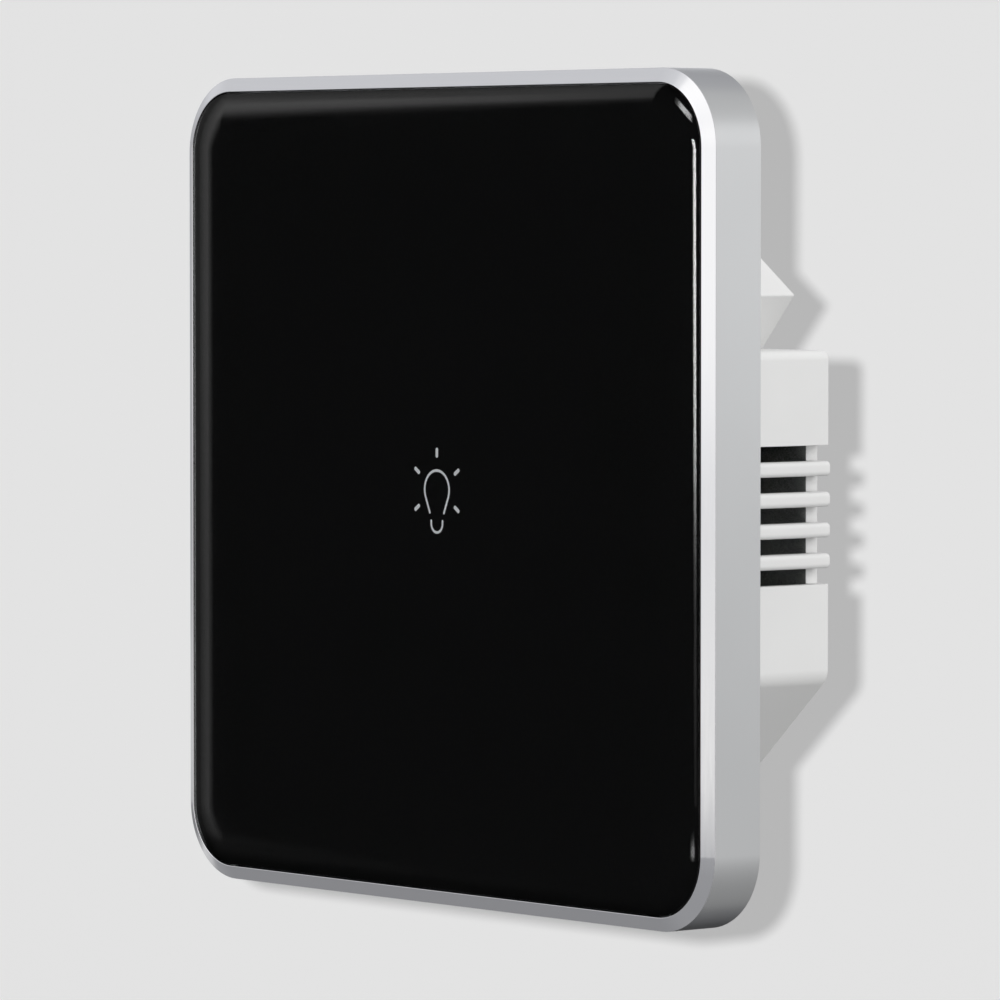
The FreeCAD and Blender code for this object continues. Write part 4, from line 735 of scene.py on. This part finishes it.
def build_housing(shape):
    """The vented box: walls, screw columns, board notch and the rounded ribs between the vents."""
    inside = inward(HOUSING, HOUSING_WALL)

    def block(part):
        prism(part, HOUSING, HOUSING_ROUNDING, SEAT, REAR, 0.5)

    def cavity(part):
        prism(part, inside, [0.5] * 6, SEAT - PAST, REAR_INSIDE, 0.35, 4)

    def posts(part):
        for centre in COLUMNS:
            turned(part, centre, ((COLUMN_RADIUS, BOARD_REAR), (COLUMN_RADIUS, REAR_INSIDE + PAST)))

    def openings(part):
        bore = (
            (SCREW_RADIUS, BOARD_REAR - PAST), (SCREW_RADIUS, REAR - HEAD_DEPTH),
            (HEAD_RADIUS, REAR - HEAD_DEPTH), (HEAD_RADIUS, REAR + PAST),
        )
        for centre in COLUMNS:
            turned(part, centre, bore)
        notch_x, notch_z = BOARD_NOTCH
        slab(part, notch_x, (SEAT - PAST, BOARD_REAR + 0.4), notch_z)
        low = VENT_TOP - VENT_PITCH * (VENT_COUNT - 1) - VENT_HEIGHT
        for side in (1, -1):
            edge = sorted((side * (SIDE - VENT_REACH), side * (SIDE + PAST)))
            slab(part, edge, (VENT_FRONT, REAR + PAST), (low, VENT_TOP))

    def ribs(part):
        for side in (1, -1):
            near, far = sorted((side * RIB_IN, side * RIB_OUT))
            rounding = [SHARP, RIB_ROUNDING, RIB_ROUNDING, SHARP]
            if side < 0:
                rounding = [RIB_ROUNDING, SHARP, SHARP, RIB_ROUNDING]
            for index in range(VENT_COUNT - 1):
                high = VENT_TOP - VENT_HEIGHT - VENT_PITCH * index
                low = high - (VENT_PITCH - VENT_HEIGHT)
                corners = [(near, low), (far, low), (far, high), (near, high)]
                prism(part, corners, rounding, VENT_FRONT - 0.4, REAR - SHARP, 0.32, 5)

    worked(
        shape, block, ("DIFFERENCE", cavity), ("UNION", posts), ("DIFFERENCE", openings), ("UNION", ribs),
    )


# The terminal cover: its hollow goes down to COVER_OPEN along the slope of its sides, so that it is open
# below. Each wire enters from above at WIRE_DEPTH, and each driver from behind at DRIVER_LEVEL.
COVER = [(12.5, 14.35), (17.57, 20.04), (10.72, 25.0), (-10.72, 25.0), (-17.57, 20.04), (-12.5, 14.35)]
COVER_ROUNDING = [0.12, 0.2, 0.3, 0.3, 0.2, 0.12]
COVER_OPEN = 13.0
COVER_SLOPE = 0.89
TERMINALS = (-7.62, 0.0, 7.62)
DRIVER_LEVEL = 19.2
WIRE_DEPTH = 14.1
DRIVER_HOLE = ((2.4, REAR - 3), (2.4, REAR - 0.2), (2.65, REAR + 0.05), (2.65, REAR + PAST))
WIRE_HOLE = ((1.7, 22.5), (1.7, 24.8), (1.95, 25.05), (1.95, 26.0))
BOSSES = ((13.9, 19.9), (-13.9, 19.9))
BOSS_RADIUS = 2.0
BOSS_REAR = 8.0
PILOT_RADIUS = 0.85
PILOT_REAR = 7.4


def build_cover(shape):
    """The V-sided cover: thin walls open below and in front, with the holes for wires and driver."""
    inside = inward(COVER, HOUSING_WALL)
    corner = inside[0]
    inside[0] = Vector((corner.x - (corner.y - COVER_OPEN) * COVER_SLOPE, COVER_OPEN))
    inside[5] = Vector((-inside[0].x, COVER_OPEN))

    def block(part):
        prism(part, COVER, COVER_ROUNDING, SEAT, REAR, 0.25, 4)

    def hollow(part):
        prism(part, inside, [0.2] * 6, SEAT - PAST, REAR - HOUSING_WALL, 0.2, 3)

    def bosses(part):
        for centre in BOSSES:
            turned(part, centre, ((BOSS_RADIUS, SEAT), (BOSS_RADIUS, BOSS_REAR)), sides=24)

    def holes(part):
        for centre in BOSSES:
            turned(part, centre, ((PILOT_RADIUS, SEAT - PAST), (PILOT_RADIUS, PILOT_REAR)), sides=20)
        for x in TERMINALS:
            turned(part, (x, DRIVER_LEVEL), DRIVER_HOLE)
            turned(part, (x, WIRE_DEPTH), WIRE_HOLE, "Z")

    worked(shape, block, ("DIFFERENCE", hollow), ("UNION", bosses), ("DIFFERENCE", holes))


finishes = dress()
mesh_piece("bevelled_frame", build_frame, "frame_metal", "panel", "front_frame", smooth=25)
glass_piece = mesh_piece("crowned_glass", build_glass, "clear_glass", "panel", "glass_panel", smooth=40)
glass_piece.data.materials.append(make_black_print("glass_edge_print").material)
glass_piece.data.materials.append(make_clear_glass("glass_rim", False).material)
polish_glass(glass_piece)
mesh_piece("vented_housing", build_housing, "housing_plastic", "base", "rear_housing")
mesh_piece("wedge_cover", build_cover, "housing_plastic", "base", "terminal_cover")


# Camera: fitted to the photograph by the edges of the 86 mm panel

BACK = Vector((0.769841, -0.636845, 0.042102))
RIGHT = Vector((0.637411, 0.770524, 0.0))
UP = Vector((-0.032441, 0.026836, 0.999113))
EYE = Vector((543.099, -447.297, 28.423)) * MM
LENS = 243.83
SENSOR = 36.0

camera = add_object("camera", bpy.data.cameras.new("camera"))
camera.matrix_world = Matrix((
    (RIGHT.x, UP.x, BACK.x, EYE.x),
    (RIGHT.y, UP.y, BACK.y, EYE.y),
    (RIGHT.z, UP.z, BACK.z, EYE.z),
    (0, 0, 0, 1),
))
camera.data.lens = LENS
camera.data.sensor_width = SENSOR
camera.data.clip_start = 0.01
camera.data.clip_end = 20.0
scene.camera = camera
scene.view_settings.view_transform = "Standard"


# Studio

# The world: what the camera sees, and levels from straight down (-1) to straight up (1) of the light it
# gives and of what glossy surfaces mirror
BACKGROUND = 0.776
SKY_LIGHT = ((-1.0, 0.3), (-0.3, 0.32), (0.05, 0.55), (0.4, 0.79), (1.0, 0.81))
MIRRORED = (
    (-1.0, 0.26), (-0.62, 0.32), (-0.34, 0.41), (-0.17, 0.56), (-0.04, 0.65), (0.33, 0.68), (0.7, 0.57),
    (1.0, 0.5),
)

# In metres
BACKDROP_AWAY = 1.704
BACKDROP_SIZE = 0.62
FLOOR_LEVEL = -0.2
FLOOR_SIZE = 6.0

# In millimetres. The first of the glowing patches is the nearest, and each next one lies a step behind.
BLACK_DOME_AWAY = 9000
PATCH_AWAY = 8000
PATCH_STEP = 50

# In degrees: the azimuths and elevations that the black dome covers, and the size of a dome's faces
DOME_ACROSS = (-178, 40)
DOME_UPRIGHT = (-75, 75)
DOME_FACE = 3


def toward(azimuth, elevation, distance):
    """A place round the panel: azimuth 0 is in front, 90 to the right, in degrees and millimetres."""
    a, e = math.radians(azimuth), math.radians(elevation)
    return Vector((math.sin(a) * math.cos(e), -math.cos(a) * math.cos(e), math.sin(e))) * distance * MM


def stage_sheet(name, points, faces, places, material):
    """A sheet of the studio; places holds each point's place on the sheet, from 0 to 1 both ways."""
    mesh = bpy.data.meshes.new(name)
    mesh.from_pydata(points, [], faces)
    layer = mesh.uv_layers.new(name="sheet")
    for loop in mesh.loops:
        layer.data[loop.index].uv = places[loop.vertex_index]
    mesh.materials.append(material)
    sheet = add_object(name, mesh)
    return sheet


def flat_sheet(name, centre, across, upright, width, height, material):
    """A flat stage sheet about a point, spanned by two directions."""
    a = across.normalized() * width / 2
    b = upright.normalized() * height / 2
    points = [centre - a - b, centre + a - b, centre + a + b, centre - a + b]
    return stage_sheet(name, points, [(0, 1, 2, 3)], ((0, 0), (1, 0), (1, 1), (0, 1)), material)


def only_mirrored(sheet):
    """Shows a sheet only where a glossy surface mirrors it."""
    sheet.visible_camera = False
    sheet.visible_diffuse = False
    sheet.visible_shadow = False
    sheet.visible_transmission = False


def dome(name, distance, azimuths, elevations, material, lean=(0.0, 0.0)):
    """Part of a large sphere round the panel that only reflections see.

    lean slants it, in degrees per degree: its height by the place across, and its place across by the
    height.
    """
    middle = sum(azimuths) / 2
    level = sum(elevations) / 2
    columns = max(2, int((azimuths[1] - azimuths[0]) / DOME_FACE))
    rows = max(2, int((elevations[1] - elevations[0]) / DOME_FACE))
    points = []
    places = []
    for row in range(rows + 1):
        for column in range(columns + 1):
            u, v = column / columns, row / rows
            across = azimuths[0] + (azimuths[1] - azimuths[0]) * u
            up = elevations[0] + (elevations[1] - elevations[0]) * v
            points.append(toward(across + lean[1] * (up - level), up + lean[0] * (across - middle), distance))
            places.append((u, v))
    faces = []
    for row in range(rows):
        for column in range(columns):
            first = row * (columns + 1) + column
            faces.append((first, first + 1, first + columns + 2, first + columns + 1))
    sheet = stage_sheet(name, points, faces, places, material)
    only_mirrored(sheet)
    return sheet


def link_to(lamp, name, members, include):
    """Lets a lamp light only some objects, or all but some."""
    chosen = bpy.data.collections.new(name)
    for member in members:
        chosen.objects.link(member)
    if not include:
        for entry in chosen.collection_objects:
            entry.light_linking.link_state = "EXCLUDE"
    lamp.light_linking.receiver_collection = chosen


def make_world():
    """A plain even sky; what glossy surfaces mirror is paler at the horizon than above and below."""
    world = bpy.data.worlds.new("studio")
    world.use_nodes = True
    scene.world = world
    tree = world.node_tree
    tree.nodes.clear()
    join = tree.links.new

    split = add_node(tree, "SeparateXYZ")
    join(add_node(tree, "TexCoord").outputs["Generated"], split.inputs[0])

    def even(strength):
        made = add_node(tree, "Background")
        made.inputs["Color"].default_value = (1, 1, 1, 1)
        made.inputs["Strength"].default_value = strength
        return made

    def by_height(stops):
        share = add_node(tree, "MapRange")
        join(split.outputs["Z"], share.inputs["Value"])
        share.inputs["From Min"].default_value = -1.0
        share.inputs["From Max"].default_value = 1.0
        ramp = add_node(tree, "ValToRGB")
        set_stops(ramp, [((height + 1) / 2, level) for height, level in stops])
        join(share.outputs[0], ramp.inputs[0])
        made = even(1.0)
        join(ramp.outputs[0], made.inputs["Strength"])
        return made

    def mixed(factor, first, second):
        made = add_node(tree, "MixShader")
        for source, target in zip((factor, first.outputs[0], second.outputs[0]), made.inputs):
            join(source, target)
        return made

    path = add_node(tree, "LightPath")
    lit = mixed(path.outputs["Is Glossy Ray"], by_height(SKY_LIGHT), by_height(MIRRORED))
    seen = add_node(tree, "Math", operation="MAXIMUM")
    join(path.outputs["Is Camera Ray"], seen.inputs[0])
    join(path.outputs["Is Transmission Ray"], seen.inputs[1])
    result = mixed(seen.outputs[0], lit, even(BACKGROUND))
    join(result.outputs[0], add_node(tree, "OutputWorld").inputs["Surface"])


def plain_surface(name, colour, see_through_back):
    """A matt stage material, which may show what is behind it from its back."""
    f = Finish(name)
    f.put(Base_Color=(*colour, 1), Roughness=0.9, Specular_IOR_Level=0.0)
    if see_through_back:
        mix = f.node("MixShader")
        f.join(f.node("NewGeometry").outputs["Backfacing"], mix.inputs["Fac"])
        f.join(f.shader.outputs[0], mix.inputs[1])
        f.join(f.node("BsdfTransparent").outputs[0], mix.inputs[2])
        f.join(mix.outputs[0], f.output.inputs["Surface"])
    return f.material


def glow(name, strength, across_stops, upright_stops, colour=(1, 1, 1), sharp_only=False):
    """Light that adds to what is behind it, shaped by soft stops across and up the sheet.

    With sharp_only just a perfectly sharp reflection shows it, which only the rim of the glass gives.
    """
    f = Finish(name)
    split = f.node("SeparateXYZ")
    f.join(f.node("TexCoord").outputs["UV"], split.inputs[0])
    parts = []
    for letter, stops in (("X", across_stops), ("Y", upright_stops)):
        ramp = f.node("ValToRGB")
        set_stops(ramp, stops)
        f.join(split.outputs[letter], ramp.inputs[0])
        parts.append(ramp.outputs[0])
    level = f.math("MULTIPLY", *parts)
    if sharp_only:
        level = f.math("MULTIPLY", level, f.node("LightPath").outputs["Is Singular Ray"])
    emission = f.node("Emission")
    emission.inputs["Color"].default_value = (*colour, 1)
    f.join(f.math("MULTIPLY", level, strength), emission.inputs["Strength"])
    both = f.node("AddShader")
    f.join(f.node("BsdfTransparent").outputs[0], both.inputs[0])
    f.join(emission.outputs[0], both.inputs[1])
    f.join(both.outputs[0], f.output.inputs["Surface"])
    f.material.cycles.emission_sampling = "NONE"
    return f.material


def light_patch(distance, name, strength, seen_in, across, upright, colour=(1, 1, 1), lean=(0.0, 0.0)):
    """A glow given by its level at azimuths and at elevations; it reaches from the first to the last.

    seen_in is "glass", "rim" for the glass's sharp rim alone, or "rest" for everything but the glass.
    """
    ends = [(stops[0][0], stops[-1][0]) for stops in (across, upright)]
    shares = [
        [((angle - first) / (last - first), level) for angle, level in stops]
        for stops, (first, last) in zip((across, upright), ends)
    ]
    light = glow(name + "_light", strength, *shares, colour, seen_in == "rim")
    sheet = dome(name, distance, *ends, light, lean)
    link_to(sheet, name + "_on", [glass_piece], seen_in != "rest")


make_world()

backdrop = flat_sheet(
    "backdrop", EYE - BACK * BACKDROP_AWAY, RIGHT, UP, BACKDROP_SIZE, BACKDROP_SIZE,
    plain_surface("backdrop_paper", (0.87, 0.87, 0.87), True),
)
backdrop.visible_glossy = False
floor = flat_sheet(
    "floor", Vector((0, 0, FLOOR_LEVEL)), Vector((1, 0, 0)), Vector((0, 1, 0)), FLOOR_SIZE, FLOOR_SIZE,
    plain_surface("floor_paper", (0.84, 0.84, 0.84), True),
)
floor.visible_glossy = False
floor.visible_diffuse = False

# One small lamp beside the eye throws the object's shadow on the backdrop and lights nothing else. It
# stands to the left of the eye and above it, in millimetres.
LAMP_LEFT = 6.0
LAMP_ABOVE = 1.9
LAMP_RADIUS = 1.3
LAMP_POWER = 39.0
shadow_lamp = add_object("shadow_lamp", bpy.data.lights.new("shadow_lamp", "POINT"))
shadow_lamp.location = EYE - RIGHT * LAMP_LEFT * MM + UP * LAMP_ABOVE * MM
shadow_lamp.data.energy = LAMP_POWER
shadow_lamp.data.shadow_soft_size = LAMP_RADIUS * MM
shadow_lamp.visible_glossy = False
shadow_lamp.visible_camera = False
link_to(shadow_lamp, "backdrop_only", [backdrop], True)

# One soft lamp on the right lights the object and not the backdrop.
KEY_PLACE = {"azimuth": 105, "elevation": 16, "distance": 700}
KEY_SIZE = 450
KEY_POWER = 1.7
key = add_object("key", bpy.data.lights.new("key", "AREA"))
key.location = toward(**KEY_PLACE)
key.rotation_mode = "QUATERNION"
key.rotation_quaternion = (-key.location).to_track_quat("-Z", "Y")
key.data.shape = "RECTANGLE"
key.data.size = KEY_SIZE * MM
key.data.size_y = KEY_SIZE * MM
key.data.energy = KEY_POWER
key.visible_glossy = False
link_to(key, "key_on", [backdrop], False)

# Reflections. A black dome in front keeps the glass black. Patches that only the glass or only its rim
# mirrors give its rounded edge its lights, and patches for everything else stand in for the sky that the
# dome hides.
dome(
    "black_dome", BLACK_DOME_AWAY, DOME_ACROSS, DOME_UPRIGHT,
    plain_surface("black_cloth", (0.003, 0.003, 0.003), False),
)

SKY_COLOUR = (0.98, 0.985, 1.03)
WARM_COLOUR = (1.03, 1.0, 0.94)

PATCHES = (
    # On the glass: a tall window far to the left with a brighter edge, a narrow lamp in front, its low end
    # and a small lamp above it
    {
        "name": "window", "strength": 0.68, "seen_in": "glass",
        "across": (
            (-116, 0.1), (-96, 0.2), (-84, 0.16), (-77, 0.2), (-71, 0.42), (-66, 0.62), (-62, 0.85),
            (-58.5, 1.0), (-56.5, 0.62), (-53.2, 0),
        ),
        "upright": (
            (-30, 0), (-18, 0.05), (-10, 0.35), (-4, 0.62), (0, 0.8), (20, 1.0), (24, 1.0), (28, 0.74),
            (33, 0.72), (42, 0.8),
        ),
    },
    {
        "name": "window_edge", "strength": 0.27, "seen_in": "glass",
        "across": ((-60.5, 0), (-58.5, 0.45), (-56.7, 1), (-55, 0.6), (-53.6, 0.35), (-52, 0)),
        "upright": ((9.5, 0), (12, 0.5), (15, 0.9), (20, 1), (22.5, 0.9), (25.5, 0.3), (27.5, 0)),
    },
    {
        "name": "lamp_strip", "strength": 19.0, "seen_in": "rim", "lean": (0.0, -0.5),
        "across": ((-3.6, 0), (-1.2, 0.75), (-0.1, 1), (1.6, 1), (3.3, 0)),
        "upright": (
            (-5.2, 0.012), (-3.6, 0.025), (-3.1, 0.05), (-2.8, 0.1), (-2.4, 0.22), (-2.1, 0.4), (-1.7, 0.62),
            (-1.3, 0.74), (-0.7, 0.86), (0, 0.94), (2.5, 1), (6.2, 1), (7.2, 0),
        ),
    },
    {
        "name": "low_spot", "strength": 4.6, "seen_in": "rim",
        "across": ((-7, 0), (-5.4, 0.15), (-3.6, 0.5), (-1.8, 0.95), (-0.4, 1), (1.6, 0.42), (3.2, 0)),
        "upright": (
            (-10.2, 0), (-8.5, 0.2), (-7.1, 0.45), (-5.7, 0.8), (-5.62, 1), (-5.59, 0.85), (-5.55, 0.4),
            (-5.5, 0.1), (-5.42, 0),
        ),
    },
    {
        "name": "upper_lamp", "strength": 9.5, "seen_in": "rim", "lean": (-0.3, 0.0),
        "across": ((-32, 0), (-27, 0.1), (-21, 0.85), (-15, 1), (-8, 0.85), (-2, 0)),
        "upright": ((22.5, 0), (24.5, 1), (28.5, 1), (31, 0)),
    },
    # On the rest: the sky that the black dome hides, and what brightens or darkens the frame's bevels
    {
        "name": "front_sky", "strength": 1.0, "seen_in": "rest", "colour": SKY_COLOUR,
        "across": (
            (-134, 0), (-122, 1), (-114, 0.75), (-107, 0.62), (-100, 0.75), (-88, 0.95), (-70, 0.85),
            (-30, 1), (40, 1),
        ),
        "upright": (
            (-75, 0.26), (-39, 0.31), (-20, 0.32), (-8.5, 0.35), (-5.8, 0.37), (-5.3, 0.5), (0, 0.68),
            (31, 0.72), (75, 0.5),
        ),
    },
    {
        "name": "far_left_sky", "strength": 1.0, "seen_in": "rest", "colour": SKY_COLOUR,
        "across": ((-178, 1), (-134, 1), (-122, 0)),
        "upright": (
            (-75, 0.26), (-50, 0.18), (-40, 0.06), (-30, 0.01), (-12, 0.02), (-2, 0.1), (6, 0.6), (14, 0.66),
            (22, 0.46), (30, 0.34), (45, 0.42), (75, 0.5),
        ),
    },
    {
        "name": "bevel_lamp", "strength": 0.38, "seen_in": "rest", "colour": WARM_COLOUR,
        "across": ((-46, 0), (-36, 0.35), (-29, 1), (4, 1), (18, 0.95), (34, 0)),
        "upright": (
            (-12, 0), (-6.2, 0), (-5.75, 0.03), (-5.5, 0.3), (-5.25, 0.9), (-4.5, 0.92), (-3.5, 0.72),
            (-2.5, 0.46), (-1.2, 0.88), (9, 1), (20, 0.85), (37, 1), (44, 0),
        ),
    },
    {
        "name": "left_low_lamp", "strength": 0.23, "seen_in": "rest",
        "across": ((-120, 0), (-112, 1), (-105, 1), (-97, 0)),
        "upright": ((-7.5, 0), (-5.6, 0.4), (-4.6, 1), (-2.5, 0)),
    },
    {
        "name": "corner_lamp", "strength": 0.37, "seen_in": "rest",
        "across": ((-107, 0), (-103, 0.5), (-99, 1), (-94, 0.9), (-89, 0.4), (-85, 0)),
        "upright": ((-25, 0), (-20, 0.8), (-15, 1), (-12, 0.7), (-8.5, 0)),
    },
)
for index, patch in enumerate(PATCHES):
    light_patch(PATCH_AWAY + PATCH_STEP * index, **patch)

# A pale card close by on the right brightens the upper half of the frame's side.
card_light = glow(
    "side_card_light", 0.24,
    across_stops=((0, 0.3), (0.3, 1), (0.7, 1), (1, 0.3)), upright_stops=((0, 0.2), (0.3, 1), (1, 1)),
)
card = flat_sheet(
    "side_card", centre=toward(130, 14.5, 230), across=toward(40, 0, 1), upright=Vector((0, 0, 1)),
    width=0.36, height=0.15, material=card_light,
)
only_mirrored(card)
link_to(card, "side_card_on", [glass_piece], False)
